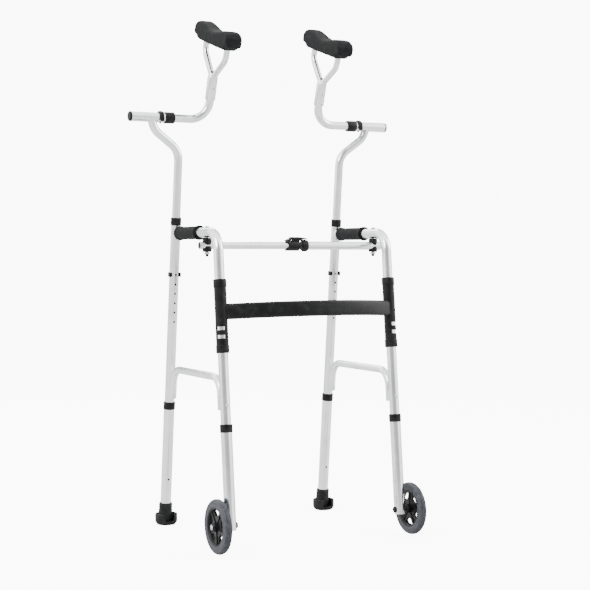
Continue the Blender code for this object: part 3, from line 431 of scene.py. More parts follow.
def rivet(start, end, headStart=True, headEnd=True, size=rivetLook):
    length, headR, height = (end - start).length / mm, size["headR"], size["headHeight"]
    profile = [(0, 0)]
    if headStart:
        profile = [(0, -height), (headR * 0.75, -height * 0.85, 0.8), (headR, -0.3, 0.2), (headR, 0)]
    profile += [(size["shankR"], 0), (size["shankR"], length)]
    if headEnd:
        crown = (headR * 0.75, length + height * 0.85, 0.8)
        profile += [(headR, length), (headR, length + 0.3, 0.2), crown, (0, length + height)]
    else:
        profile += [(0, length)]
    return turned(profile, placeAlong(start, end - start), 32)


collarSize = {"length": 20.0, "overhang": 3.0, "round": 0.8, "bead": 0.5}


# a ring round an outer tube's mouth, with a lip that guides the tube inside it
def mouthCollar(mouth, up, tubeR, slidingR, outerR, length=None):
    overhang, rounding, bead = collarSize["overhang"], collarSize["round"], collarSize["bead"]
    low = overhang - (length or collarSize["length"])
    return turned([
        (tubeR + gap, low),
        (outerR, low, rounding),
        (outerR, overhang - 6 - bead),
        (outerR - bead, overhang - 6),
        (outerR, overhang - 6 + bead),
        (outerR, overhang, rounding),
        (slidingR + gap, overhang),
        (slidingR + gap, gap),
        (tubeR + gap, gap),
    ], placeAlong(mouth, up))


# side frame: leg and handle in one tube, post, brace and grip

frameSize = {
    "bendR": 50.0, "postTopZ": 821.9, "boltR": 3.3, "barY": -50.303, "holeR": 2.8, "holePitch": 25.0, "frontHoles": 6,
    "rearHoles": 7, "heightPinZ": 674.7, "braceZ": 424.0, "braceR": 9.5, "braceBendR": 45.0, "braceEndZ": 347.0,
    "braceRivetZ": 358.0, "postCollarR": 14.0,
}
gripSize = {"startY": -4.003, "endY": 124.497, "bodyR": 16.7, "flareR": 18.8, "lip": 5.0, "bore": 13.0}


def sideFrame(name, side):
    body, size = f"{name}_frame", frameSize
    outer, inner = tubeSizes["frame"]
    corner, start = onFrontLeg(side, walker["handleZ"]), onFrontLeg(side, walker["innerTubeEndZ"])
    turn = frontUp.angle(yAxis)
    setback = size["bendR"] * math.tan(turn / 2)
    post = onRearPost(side, walker["handleZ"])
    moves = [
        (corner - start).length / mm - setback, (size["bendR"], turn, yAxis), (post.y - corner.y) / mm - setback,
    ]
    rivetAt = onFrontLeg(side, size["braceRivetZ"])
    bolt = at(side * walker["frameX"], size["barY"], walker["handleZ"])
    makePiece(bentTube(start, frontUp, moves, outer, inner), f"{name}FrontLegTube", body, "aluminium",
              [f"{name}_front_leg_tube"], [
        drilled(post, rearUp, outer + gap, 60, 64),
        drilled(rivetAt, frontBack, size["holeR"]),
        drilled(bolt, zAxis, size["boltR"]),
    ])
    start, end = onRearPost(side, walker["innerTubeEndZ"]), onRearPost(side, size["postTopZ"])
    topHole, holes = onRearPost(side, size["heightPinZ"]), []
    for count, way in ((size["frontHoles"], -1), (size["rearHoles"], 1)):
        for index in range(count):
            middle = topHole - rearUp * size["holePitch"] * mm * index
            holes.append(drilled(middle + rearBack * way * 14.5 * mm, rearBack * way, size["holeR"], 5.5))
    rearRivet = onRearPost(side, size["braceRivetZ"])
    holes.append(drilled(rearRivet, rearBack, size["holeR"]))
    makePiece(straightTube(start, end, outer, inner), f"{name}RearPost", body, "aluminium",
              [f"{name}_rear_post"], holes)

    beside = outer + gap + size["braceR"]
    front = onFrontLeg(side, size["braceEndZ"]) + frontBack * beside * mm
    rear = onRearPost(side, size["braceEndZ"]) - rearBack * beside * mm
    frontCorner = front + frontUp * ((size["braceZ"] * mm - front.z) / frontUp.z)
    rearCorner = rear + rearUp * ((size["braceZ"] * mm - rear.z) / rearUp.z)
    frontTurn, rearTurn = frontUp.angle(yAxis), yAxis.angle(-rearUp)
    frontSet = size["braceBendR"] * math.tan(frontTurn / 2)
    rearSet = size["braceBendR"] * math.tan(rearTurn / 2)
    moves = [
        (frontCorner - front).length / mm - frontSet,
        (size["braceBendR"], frontTurn, yAxis),
        (rearCorner.y - frontCorner.y) / mm - frontSet - rearSet,
        (size["braceBendR"], rearTurn, -rearUp),
        (rearCorner - rear).length / mm - rearSet,
    ]
    makePiece(bentTube(front, frontUp, moves, size["braceR"]), f"{name}SideBrace", body, "aluminium",
              [f"{name}_side_brace"], soften=1.5)
    legSide, braceSide = (outer + gap) * mm, (beside + size["braceR"] - 0.5) * mm
    makePiece(rivet(rivetAt - frontBack * legSide, rivetAt + frontBack * braceSide),
              f"{name}BraceRivetFront", body, "steel")
    makePiece(rivet(rearRivet - rearBack * braceSide, rearRivet + rearBack * legSide),
              f"{name}BraceRivetRear", body, "steel")
    makePiece(
        mouthCollar(end, rearUp, outer, tubeSizes["crutch"][0], size["postCollarR"]),
        f"{name}PostCollar", body, "plastic", [f"{name}_post_collar"],
    )
    handGrip(name, side, body)


# foam sleeve with a flared end each side and shallow finger rings
def handGrip(name, side, body):
    size = gripSize
    length, lip = size["endY"] - size["startY"], size["lip"]
    profile = [
        (size["bore"], 0), (size["flareR"], 0, 1.6), (size["flareR"], lip, 2.0), (size["bodyR"], 2.2 * lip, 2.0),
    ]
    rings = 12
    for index in range(1, rings):
        middle = 2.2 * lip + (length - 4.4 * lip) * index / rings
        profile += [(size["bodyR"], middle - 1.4), (size["bodyR"] - 0.25, middle, 0.6), (size["bodyR"], middle + 1.4)]
    profile += [
        (size["bodyR"], length - 2.2 * lip, 2.0), (size["flareR"], length - lip, 2.0), (size["flareR"], length, 1.6),
        (size["bore"], length),
    ]
    start = at(side * walker["frameX"], size["startY"], walker["handleZ"])
    grip = makePiece(turned(profile, placeAlong(start, yAxis)), f"{name}HandGrip", body, "foam",
                     [f"{name}_hand_grip"])


# front leg with its wheel

legSize = {
    "frontBottomZ": 55.5, "frontTopZ": 309.8, "rearBottomZ": 14.0, "rearTopZ": 330.9, "rearHoleZ": 124.6,
    "collarR": 15.75,
}
wheelSize = {
    "radius": 67.5, "x": 274.3, "tyreWidth": 19.0, "shoulder": 6.0, "rimR": 47.5, "rimWidth": 17.0, "rimDepth": 6.0,
    "hubR": 11.0, "hubHalf": 15.5, "axleR": 4.0, "spokes": 5, "webR": 26.5, "webThick": 8.0,
}


def frontLeg(name, side):
    body, size = f"{name}_front_leg", wheelSize
    outer, inner = tubeSizes["leg"]
    bottom, top = onFrontLeg(side, legSize["frontBottomZ"]), onFrontLeg(side, legSize["frontTopZ"])
    axleAt, out = onFrontLeg(side, size["radius"]), xAxis * side
    makePiece(straightTube(bottom, top, outer, inner), f"{name}FrontLowerLeg", body, "aluminium",
              [f"{name}_front_lower_leg"], [drilled(axleAt, out, size["axleR"] + gap)])
    makePiece(mouthCollar(top, frontUp, outer, tubeSizes["frame"][0], legSize["collarR"]),
              f"{name}FrontCollar", body, "plastic", [f"{name}_front_collar"])
    headAt = -outer - gap
    outerEnd = size["x"] - walker["frameX"] + size["hubHalf"] + gap
    axle = [
        (0, headAt - 1.2), (6.5, headAt - 1.2), (6.5, headAt), (size["axleR"], headAt), (size["axleR"], outerEnd),
        (5.2, outerEnd), (5.2, outerEnd + 2.4, 0.6), (3.6, outerEnd + 3.4, 0.6), (0, outerEnd + 3.5),
    ]
    makePiece(turned(axle, placeAlong(axleAt, out), 48), f"{name}Axle", body, "steel", [f"{name}_axle"], [
        (join, rod(7.0, axleAt + out * outerEnd * mm, axleAt + out * (outerEnd + 2.0) * mm, 6)),
    ])
    cap = [(0, -3.5), (6.6, -3.5, 1.4), (8.0, -1.6, 0.8), (8.0, 0), (6.6, 0), (6.6, -1.3), (0, -1.3)]
    makePiece(turned(cap, placeAlong(axleAt + out * headAt * mm, out), 48), f"{name}AxleCap", body, "plastic")
    wheel(name, placeAlong(at(side * size["x"], 0, size["radius"]) + yAxis * axleAt.y, out), f"{name}_wheel")


# a rubber tyre with three fine grooves, on a rim with tapered spokes
def wheel(name, matrix, body):
    size = wheelSize
    half, shoulder, radius = size["tyreWidth"] / 2, size["shoulder"], size["radius"]
    tread = [(radius - shoulder + shoulder * math.cos(a), half * math.sin(a))
             for a in [math.radians(degrees) for degrees in (-90, -76, -62, -48, -36, 36, 48, 62, 76, 90)]]

    def treadR(z):
        return radius - shoulder + shoulder * math.sqrt(1 - (z / half) ** 2)

    for middle in (-4.0, 0.0, 4.0):
        for z, depth in ((-1.9, 0), (-0.5, 0), (-0.35, 0.7), (0.35, 0.7), (0.5, 0), (1.9, 0)):
            tread.append((treadR(middle + z) - depth, middle + z))
    tread.sort(key=lambda point: point[1])
    wall = [(size["rimR"] + 2.5, half, 0.6), (size["rimR"] + gap, half - 1)]
    step = [(radius - 9.5, half), (radius - 9.9, half - 0.5), (radius - 12.5, half - 0.5), (radius - 12.9, half)]
    profile = [(r, -z, *rest) for r, z, *rest in reversed(step + wall)] + tread + step + wall
    makePiece(turned(profile, matrix, 96), f"{name}Tyre", body, "tyre", [f"{name}_tyre"])

    half, rimR, depth = size["rimWidth"] / 2, size["rimR"], size["rimDepth"]
    rim = [
        (rimR - depth, -half + 4, 1.0), (rimR - 3, -half, 0.8), (rimR, -half), (rimR, half), (rimR - 3, half, 0.8),
        (rimR - depth, half - 4, 1.0),
    ]
    bore, hubR, hubHalf = size["axleR"] + gap, size["hubR"], size["hubHalf"]
    barrel = [
        (bore, -hubHalf), (hubR - 2.5, -hubHalf, 0.5), (hubR, -hubHalf + 3, 1.0), (hubR, hubHalf - 3, 1.0),
        (hubR - 2.5, hubHalf, 0.5), (bore, hubHalf),
    ]
    webR, webThick = size["webR"], size["webThick"]
    web = [(bore, -webThick / 2), (webR, -webThick / 2, 0.8), (webR, webThick / 2, 0.8), (bore, webThick / 2)]
    steps = [(join, turned(barrel, matrix)), (join, turned(web, matrix))]
    spoke = [(9, -11.0), (rimR - depth + 1.5, -9.0), (rimR - depth + 1.5, 9.0), (9, 11.0)]
    rib = [(9, -1.2), (rimR - depth + 1, -1.2), (rimR - depth + 1, 1.2), (9, 1.2)]
    for index in range(size["spokes"]):
        turn = matrix @ Matrix.Rotation(math.tau * (index + 0.3) / size["spokes"], 4, "Z")
        flat = turn @ Matrix.Rotation(math.pi / 2, 4, "X")
        steps += [(join, extruded(spoke, 7.0, flat)), (join, extruded(rib, 12.0, flat))]
    makePiece(turned(rim, matrix, 96), f"{name}Hub", body, "plastic", [f"{name}_hub"], steps)


# rear leg with its rubber foot

footSize = {
    "mouthZ": 58.5, "mouthR": 17.2, "waistR": 20.0, "baseR": 30.0, "lobeZ": 30.0, "ahead": 9.0, "floor": 9.0,
    "wall": 5.5, "gapWidth": 26.0,
}


def rearLeg(name, side):
    body = f"{name}_rear_leg"
    outer, inner = tubeSizes["leg"]
    bottom, top = onRearPost(side, legSize["rearBottomZ"]), onRearPost(side, legSize["rearTopZ"])
    hole = onRearPost(side, legSize["rearHoleZ"])
    makePiece(straightTube(bottom, top, outer, inner), f"{name}RearLowerLeg", body, "aluminium",
              [f"{name}_rear_lower_leg"], [(cut, rod(frameSize["holeR"], hole - rearBack * 20 * mm, hole))])
    makePiece(mouthCollar(top, rearUp, outer, tubeSizes["frame"][0], legSize["collarR"]),
              f"{name}RearCollar", body, "plastic", [f"{name}_rear_collar"])
    size = footSize
    baseAt = at(side * walker["frameX"], walker["rearFloorY"] - size["ahead"], 0)
    baseR, floor, wall, lobeZ = size["baseR"], size["floor"], size["wall"], size["lobeZ"]
    base = [
        (0, 0), (6, 0), (6.4, 0.9), (8.6, 0.9), (9, 0), (13, 0), (13.4, 0.9), (15.6, 0.9), (16, 0),
        (baseR - 7, 0, 1.5), (baseR - 2.5, 4, 3.0), (baseR, floor + 1, 2.0), (baseR, lobeZ, 2.5),
        (baseR - wall, lobeZ, 1.6), (baseR - wall - 1, floor, 1.5), (0, floor),
    ]
    start, mouth = onRearPost(side, 5), onRearPost(side, size["mouthZ"])
    height = (mouth - start).length / mm
    socket = [(0, 0), (size["waistR"], 0), (size["mouthR"] + 1.3, height * 0.6)]
    for ridge in (0.66, 0.78, 0.9):
        middle = height * ridge
        socket += [(size["mouthR"] + 0.4, middle - 1.6), (size["mouthR"] + 1.3, middle - 0.8, 0.4),
                   (size["mouthR"] + 1.3, middle + 0.8, 0.4), (size["mouthR"] + 0.3, middle + 1.6)]
    socket += [(size["mouthR"], height, 0.8), (0, height)]
    legEnd = bottom - rearUp * gap * mm
    makePiece(turned(base, placeAlong(baseAt, zAxis)), f"{name}RearFoot", body, "rubber", [f"{name}_rear_foot"], [
        (cut, block((size["gapWidth"], 90, 40), Matrix.Translation(baseAt + zAxis * (floor + 21) * mm))),
        (join, turned(socket, placeAlong(start, rearUp))),
        (cut, rod(outer + gap, legEnd, mouth + rearUp * 10 * mm, 64)),
    ])


# front brace: a bowed bar between two sleeves that the side frames turn in

braceSize = {
    "arcZ": 587.3, "ahead": 8.0, "bow": 67.7, "endX": 233.5, "height": 39.3, "thick": 13.0, "sleeveLowZ": 486.3,
    "sleeveHighZ": 667.5, "sleeveR": 15.5, "bushingR": 16.6, "bushingLength": 19.0, "windowZ": (526.2, 546.6),
    "windowHeight": 8.7, "windowTurn": 110.0,
}


def windowCutter(side, z):
    half, span = braceSize["windowHeight"] / 2, math.radians(braceSize["windowTurn"])
    bm = outlineOf([(11, -half), (20, -half), (20, half), (11, half)])
    face = bmesh.ops.contextual_create(bm, geom=bm.edges[:])["faces"]
    bmesh.ops.rotate(bm, cent=(0, 0, 0), matrix=Matrix.Rotation(-span / 2, 3, "Z"), verts=bm.verts[:])
    bmesh.ops.spin(bm, geom=face, cent=(0, 0, 0), axis=(0, 0, 1), dvec=(0, 0, 0), angle=span, steps=20,
                   use_duplicate=False)
    facing = (xAxis * side * 0.62 - frontBack * 0.78).normalized()
    bmesh.ops.transform(bm, matrix=placeAlong(onFrontLeg(side, z), frontUp, facing), verts=bm.verts[:])
    return bm


def frontBrace():
    size = braceSize
    rise, halfWidth = size["bow"], size["endX"]
    radius = (halfWidth**2 + rise**2) / (2 * rise)
    halfAngle = math.asin(halfWidth / radius)
    middle = onFrontLeg(0, size["arcZ"]) - frontBack * size["ahead"] * mm
    centre = middle - frontBack * (rise - radius) * mm
    corner = size["thick"] / 2
    tall, thick = size["height"] / 2, size["thick"] / 2
    corners = ((thick, tall), (-thick, tall), (-thick, -tall), (thick, -tall))
    bar = outlineOf([(x, z, corner - 0.1) for x, z in corners])
    face = bmesh.ops.contextual_create(bar, geom=bar.edges[:])["faces"]
    bmesh.ops.rotate(bar, cent=(0, 0, 0), matrix=Matrix.Rotation(-math.pi / 2, 3, "X"), verts=bar.verts[:])
    start = placeAlong(centre - frontBack * radius * mm, xAxis, frontBack)
    bmesh.ops.transform(bar, matrix=start, verts=bar.verts[:])
    bmesh.ops.rotate(bar, cent=centre, matrix=Matrix.Rotation(-halfAngle, 3, frontUp), verts=bar.verts[:])
    bmesh.ops.spin(bar, geom=face, cent=centre, axis=frontUp, dvec=(0, 0, 0), angle=2 * halfAngle, steps=64,
                   use_duplicate=False)
    steps = []
    bushR, bushLength, sleeveR = size["bushingR"], size["bushingLength"], size["sleeveR"]
    for side in sides.values():
        low, high = onFrontLeg(side, size["sleeveLowZ"]), onFrontLeg(side, size["sleeveHighZ"])
        height = (high - low).length / mm
        steps.append((join, turned([
            (0, 0), (bushR, 0, 1.0), (bushR, bushLength, 0.5), (sleeveR, bushLength + 0.8),
            (sleeveR, height - bushLength - 0.8),
            (bushR, height - bushLength, 0.5), (bushR, height, 1.0), (0, height),
        ], placeAlong(low, frontUp))))
    for side in sides.values():
        low, high = onFrontLeg(side, size["sleeveLowZ"]), onFrontLeg(side, size["sleeveHighZ"])
        steps.append((cut, rod(tubeSizes["frame"][0] + gap, low - frontUp * 10 * mm, high + frontUp * 10 * mm, 64)))
        steps += [(cut, windowCutter(side, z)) for z in size["windowZ"]]
    makePiece(bar, "frontBrace", "base", "plastic", ["front_brace"], steps)


# top bar: two halves hung from the handles on a bolt each, and the clasp that joins them

barSize = {
    "y": -50.303, "z": 751.0, "wall": 1.3, "overhang": 21.0, "rightR": 9.25, "leftR": 10.75, "rightEndX": 13.3,
    "leftEndX": 31.3, "boltR": 3.0, "headR": 6.5, "saddleR": 11.5, "nutAcross": 6.5,
}
claspSize = {
    "collarX": (-20.6, 19.3), "collarR": 13.75, "mouthR": 18.0, "mouthX": -32.4, "capX": (25.8, 41.1), "capR": 15.5,
    "chamfer": 3.5, "leverPivotX": -3.5, "leverRise": 18.6, "leverWidth": 16.0,
    "leverSkirt": 23.8, "knuckleR": 4.2, "earThick": 2.4,
}


def onBar(x):
    return at(x, barSize["y"], barSize["z"])


def barHalf(name, side):
    body, size = f"{name}_bar", barSize
    radius, innerX = size[f"{name}R"], size[f"{name}EndX"]
    bolt = onBar(side * walker["frameX"])
    outerEnd = onBar(side * (walker["frameX"] + size["overhang"]))
    makePiece(straightTube(outerEnd, onBar(innerX), radius, radius - size["wall"]), f"{name}BarHalf", body,
              "aluminium", [f"{name}_bar_half"], [drilled(bolt, zAxis, size["boltR"] + gap, 25)])
    plug = [(0, -8), (radius - size["wall"] - gap, -8), (radius - size["wall"] - gap, 0), (0, 0.1)]
    recess = placeAlong(outerEnd - xAxis * side * 1.2 * mm, xAxis * side)
    makePiece(turned(plug, recess, 48), f"{name}BarEndPlug", body, "plastic")
    saddleTop = at(side * walker["frameX"], size["y"], walker["handleZ"] - tubeSizes["frame"][0] - gap)
    makePiece(rod(size["saddleR"], bolt + zAxis * 2 * mm, saddleTop, 64), f"{name}UpperSaddle", body, "plastic",
              [f"{name}_upper_saddle"], [
        drilled(bolt, xAxis, radius + gap, 20, 64),
        (cut, rod(size["boltR"] + gap, bolt, saddleTop + zAxis * 25 * mm)),
    ], soften=0.5)
    makePiece(rod(size["saddleR"], bolt - zAxis * 16 * mm, bolt - zAxis * 2 * mm, 64), f"{name}LowerSaddle", body,
              "plastic", steps=[
        drilled(bolt, xAxis, radius + gap, 20, 64),
        (cut, rod(size["boltR"] + gap, bolt - zAxis * 30 * mm, bolt + zAxis * 5 * mm)),
    ], soften=0.5)
    headAt = walker["handleZ"] + tubeSizes["frame"][0] + gap - size["z"]
    head = [
        (0, -24), (size["boltR"], -24, 0.6), (size["boltR"], headAt), (size["headR"], headAt),
        (size["headR"], headAt + 1.6, 0.5), (size["headR"] * 0.6, headAt + 3.4, 1.2), (0, headAt + 4),
    ]
    makePiece(turned(head, placeAlong(bolt, zAxis), 48), f"{name}HingeBolt", body, "steel", [f"{name}_hinge_bolt"], [
        (join, rod(size["nutAcross"], bolt - zAxis * 22 * mm, bolt - zAxis * 16.2 * mm, 6)),
    ])
    dome = [(0, -28), (3.6, -28, 1.6), (4.2, -24.6, 1.0), (4.2, -22.2), (0, -22.2)]
    makePiece(turned(dome, placeAlong(bolt, zAxis), 40), f"{name}BoltCap", body, "plastic")


def clasp():
    size = claspSize
    centre, collarR, chamfer = onBar(0), size["collarR"], size["chamfer"]
    low, high = size["collarX"]
    bore, socket = barSize["rightR"] + gap, size["collarX"][1] - 5.5
    profile = [
        (bore, low), (collarR + 0.3, low, 0.4), (collarR - 0.6, low + 5, 2.0), (collarR, low + 9, 2.0),
        (collarR, high - chamfer, 1.0), (collarR - chamfer, high, 0.8), (0, high), (0, socket), (bore, socket),
    ]
    pivot = centre + xAxis * size["leverPivotX"] * mm + zAxis * size["leverRise"] * mm
    thick = size["earThick"]
    earY = size["leverWidth"] / 2 + gap + thick / 2
    ear = [(-3.4, -10.5), (3.4, -10.5), (3.0, 2.5, 2.0), (-3.0, 2.5, 2.0)]
    steps = [(join, extruded(ear, thick, Matrix.Translation(pivot + yAxis * way * earY * mm))) for way in (-1, 1)]
    ramp = [(-19.5, 9), (-8.6, 9), (-8.6, 18.4, 0.4), (-11, 18.0, 1.5), (-19.5, 14.2, 1.0)]
    steps.append((join, extruded(ramp, size["leverWidth"] + 2, Matrix.Translation(centre))))
    # the mouth away from the lever is a fish-mouth cut
    mouth = centre + xAxis * size["mouthX"] * mm
    steps += [drilled(mouth, yAxis, size["mouthR"], 20, 96), drilled(pivot, yAxis, 1.7, 14)]
    makePiece(turned(profile, placeAlong(centre, xAxis)), "claspCollar", "right_bar", "plastic",
              ["clasp_collar"], steps)
    low, high = size["capX"]
    capR, bore, socket = size["capR"], barSize["leftR"] + gap, low + 5
    cap = [
        (0, low), (capR - chamfer, low, 0.8), (capR, low + chamfer, 1.0), (capR, high - 3, 0.6),
        (capR - 0.7, high - 2.4), (capR - 0.7, high, 0.8), (bore, high), (bore, socket), (0, socket),
    ]
    makePiece(turned(cap, placeAlong(centre, xAxis)), "claspCap", "left_bar", "plastic", ["clasp_cap"])
    lever = [
        (-8, 16.8, 0.6), (41, 16.2, 0.2), (41.4, 18.2, 0.5), (30, 20.6, 6.0), (10, 22.8, 4.0), (-2, 21.6, 2.0),
        (-7, 19.6, 1.0),
    ]
    pinHalf = yAxis * (earY + thick / 2) * mm
    # under the lever, a skirt closes on the collar and a knuckle turns between the ears
    skirtSize = (size["leverSkirt"], size["leverWidth"] - 0.4, 6.5)
    skirt = block(skirtSize, Matrix.Translation(centre + at(13.4, 0, 15.2)))
    acrossLever = yAxis * (size["leverWidth"] / 2 - 0.1) * mm
    knuckle = rod(size["knuckleR"], pivot - acrossLever, pivot + acrossLever)
    overCollar = rod(collarR + 0.7, centre - xAxis * 40 * mm, centre + xAxis * 60 * mm, 64)
    makePiece(extruded(lever, size["leverWidth"], Matrix.Translation(centre)), "latchLever", "latch", "plastic",
              ["latch_lever"], [
        (join, skirt), (cut, overCollar), (join, knuckle), (join, rod(1.4, pivot - pinHalf, pivot + pinHalf)),
    ], soften=0.4)


# crutches: a tube in each post, its cross tube, two clips and the armpit rest

crutchSize = {
    "footZ": 655.0, "lowBendZ": 1000.0, "highBendZ": 1051.0, "highBendX": 311.0, "jointX": 322.0, "bendR": 50.0,
    "crossZ": 1083.5, "crossInnerX": 262.0, "crossOuterX": 377.0, "collarR": 15.0, "collarLength": 26.0,
    "widthPinX": 296.0, "capR": 13.2,
}
clipSize = {"innerGap": 0.5, "outerR": 16.3, "width": 11.0, "arm": 11.0, "pinR": 2.5}


def crossCentre(side, x):
    return at(side * x, walker["rearFloorY"] + walker["rearSlope"] * crutchSize["crossZ"], crutchSize["crossZ"])


def crutch(name, side):
    body, size = f"{name}_crutch", crutchSize
    outer, inner = tubeSizes["crutch"]
    start, low, high = (onRearPost(side, size[key]) for key in ("footZ", "lowBendZ", "highBendZ"))
    high.x = side * size["highBendX"] * mm
    top = crossCentre(side, size["jointX"])
    out, up = (high - low).normalized(), (top - high).normalized()
    firstTurn, secondTurn = rearUp.angle(out), out.angle(up)
    firstSet, secondSet = (size["bendR"] * math.tan(angle / 2) for angle in (firstTurn, secondTurn))
    moves = [
        (low - start).length / mm - firstSet,
        (size["bendR"], firstTurn, out),
        (high - low).length / mm - firstSet - secondSet,
        (size["bendR"], secondTurn, up),
        (top - high).length / mm - secondSet,
    ]
    frameR, frameBore = tubeSizes["frame"]
    innerEnd, outerEnd = crossCentre(side, size["crossInnerX"]), crossCentre(side, size["crossOuterX"])
    heightPin, widthPin = onRearPost(side, frameSize["heightPinZ"]), crossCentre(side, size["widthPinX"])
    makePiece(bentTube(start, rearUp, moves, outer, inner), f"{name}CrutchTube", body, "aluminium",
              [f"{name}_crutch_tube"], [
        (cut, rod(frameR - 0.6, innerEnd, outerEnd, 64)),
        (join, straightTube(innerEnd, outerEnd, frameR, frameBore)),
        drilled(heightPin, rearBack, frameSize["holeR"]),
        drilled(widthPin, zAxis, frameSize["holeR"]),
    ])
    sideways = xAxis * side
    makePiece(mouthCollar(innerEnd, -sideways, frameR, outer, size["collarR"], size["collarLength"]),
              f"{name}CrossCollar", body, "plastic", [f"{name}_cross_collar"])
    cap = [
        (0, -13), (frameBore - gap, -13, 1.0), (frameBore - gap, gap), (size["capR"], gap), (size["capR"], 5, 2.4),
        (10, 6, 1.0), (0, 6),
    ]
    makePiece(turned(cap, placeAlong(outerEnd, sideways)), f"{name}CrossEndCap", body, "plastic",
              [f"{name}_cross_end_cap"])
    clip(f"{name}HeightClip", f"{name}_height_clip", heightPin, rearUp, rearBack, outer - gap)
    clip(f"{name}WidthClip", f"{name}_width_clip", widthPin, xAxis, zAxis, frameR + 3)


# a U-shaped band round a tube, with a pin in its middle and a finger tab on its back
def clip(name, body, centre, along, pinWay, pinReach):
    size = clipSize
    inner, outer, arm = tubeSizes["frame"][0] + size["innerGap"], size["outerR"], size["arm"]
    points = [(inner, -arm, 0.4), (outer, -arm + 1.5, 0.8)]
    points += [(outer * math.cos(math.pi * step / 32), outer * math.sin(math.pi * step / 32)) for step in range(33)]
    points += [(-outer, -arm + 1.5, 0.8), (-inner, -arm, 0.4)]
    points += [(inner * math.cos(math.pi * step / 32), inner * math.sin(math.pi * step / 32))
               for step in range(32, -1, -1)]
    matrix = placeAlong(centre, pinWay, along.cross(pinWay))
    pin = rod(size["pinR"], centre - pinWay * pinReach * mm, centre + pinWay * (outer - 0.5) * mm)
    boss = turned([(0, 13.6), (4.4, 13.6), (4.4, 17.0, 0.8), (0, 17.0)], placeAlong(centre, pinWay), 40)
    makePiece(extruded(points, size["width"], matrix), name, body, "plastic", [body], [(join, pin), (join, boss)])


armpitSize = {
    "x": 162.0, "tubeEndX": 342.5, "lean": 17.5, "bendR": 50.0, "stemTop": 108.0, "widthPitch": 10.0, "stepsIn": 4,
    "stepsOut": 2, "rivetHeights": (60.0, 86.0), "shellLow": 54.0, "shellHigh": 119.0, "shellR": 13.5, "split": 0.35,
    "prongR": 8.0, "prongSpread": 68.0, "prongBend": 170.0, "prongTop": 218.0, "prongBendR": 35.0,
}
padSize = {
    "halfLength": 109.0, "halfWidth": 22.0, "low": 197.0, "saddle": 234.0, "hump": 246.5, "humpAt": 86.0,
    "voxel": 2.2,
    "rounding": 6, "edgeRound": 8.0,
}
lean = math.radians(armpitSize["lean"])
leanUp = Vector((0, -math.sin(lean), math.cos(lean)))
leanBack = Vector((0, math.cos(lean), math.sin(lean)))


def onArmpit(side, across, up):
    return crossCentre(side, armpitSize["x"]) + leanBack * across * mm + leanUp * up * mm


def armpitRest(name, side):
    body, size = f"{name}_armpit", armpitSize
    outer, inner = tubeSizes["crutch"]
    start = crossCentre(side, size["tubeEndX"])
    straight = size["tubeEndX"] - size["x"] - size["bendR"]
    moves = [straight, (size["bendR"], math.pi / 2, leanUp), size["stemTop"] - size["bendR"]]
    holes = []
    for step in range(-size["stepsOut"], size["stepsIn"] + 1):
        middle = crossCentre(side, crutchSize["widthPinX"] + size["widthPitch"] * step)
        holes.append(drilled(middle, zAxis, frameSize["holeR"]))
    for height in size["rivetHeights"]:
        holes.append(drilled(onArmpit(side, 0, height), leanBack, frameSize["holeR"]))
    makePiece(bentTube(start, -xAxis * side, moves, outer, inner), f"{name}ArmpitTube", body, "aluminium",
              [f"{name}_armpit_tube"], holes)
    for label, way in (("Front", -1), ("Rear", 1)):
        forkHalf(name, label, side, way, body)
    plug = [(0, -6), (4.2, -6, 0.8), (4.6, 5, 2.0), (3, 6.5, 1.0), (0, 6.5)]
    makePiece(turned(plug, placeAlong(onArmpit(side, 2, size["shellHigh"] + 3), leanUp), 40), f"{name}ForkPlug", body,
              "plastic")
    for label, height in zip(("Lower", "Upper"), size["rivetHeights"]):
        middle, half = onArmpit(side, 0, height), leanBack * (size["shellR"] + gap) * mm
        makePiece(rivet(middle - half, middle + half), f"{name}ForkRivet{label}", body, "steel",
                  [f"{name}_fork_rivet_{label.lower()}"])
    armpitPad(name, side, body)


# half a clamp round the stem that closes over it and runs into a prong
def forkHalf(name, label, side, way, body):
    size = armpitSize
    outer = tubeSizes["crutch"][0]
    root, low, shellR, split = size["stemTop"] + 1.5, size["shellLow"], size["shellR"], size["split"]
    top = size["shellHigh"] - low
    cup = [
        (outer + gap, 0), (shellR, 0, 0.4), (shellR, top - 4, 2.0), (shellR - 3, top, 1.2), (0, top), (0, root - low),
        (outer + gap, root - low),
    ]
    start = onArmpit(side, way * size["prongR"], root + size["prongR"])
    bendAt = onArmpit(side, way * size["prongSpread"], size["prongBend"])
    heading = (bendAt - start).normalized()
    turn = heading.angle(leanUp)
    setback = size["prongBendR"] * math.tan(turn / 2)
    moves = [
        (bendAt - start).length / mm - setback, (size["prongBendR"], turn, leanUp),
        size["prongTop"] - size["prongBend"] - setback,
    ]
    shoulder = bmesh.new()  # rounds the throat where the prong leaves the clamp
    bmesh.ops.create_uvsphere(shoulder, u_segments=48, v_segments=24, radius=size["prongR"] * 1.12 * mm,
                              matrix=placeAlong(start, heading))
    beyond = placeAlong(onArmpit(side, -way * (30 - split), 90), leanUp, xAxis)
    steps = [(join, bentTube(start, heading, moves, size["prongR"])), (join, shoulder)]
    steps.append((cut, block((60, 60, 120), beyond)))
    for height in size["rivetHeights"]:
        middle = onArmpit(side, 0, height)
        steps.append((cut, rod(frameSize["holeR"], middle, middle + leanBack * way * 20 * mm)))
    makePiece(turned(cup, placeAlong(onArmpit(side, 0, low), leanUp)), f"{name}Fork{label}", body, "aluminium",
              [f"{name}_fork_{label.lower()}"], steps)


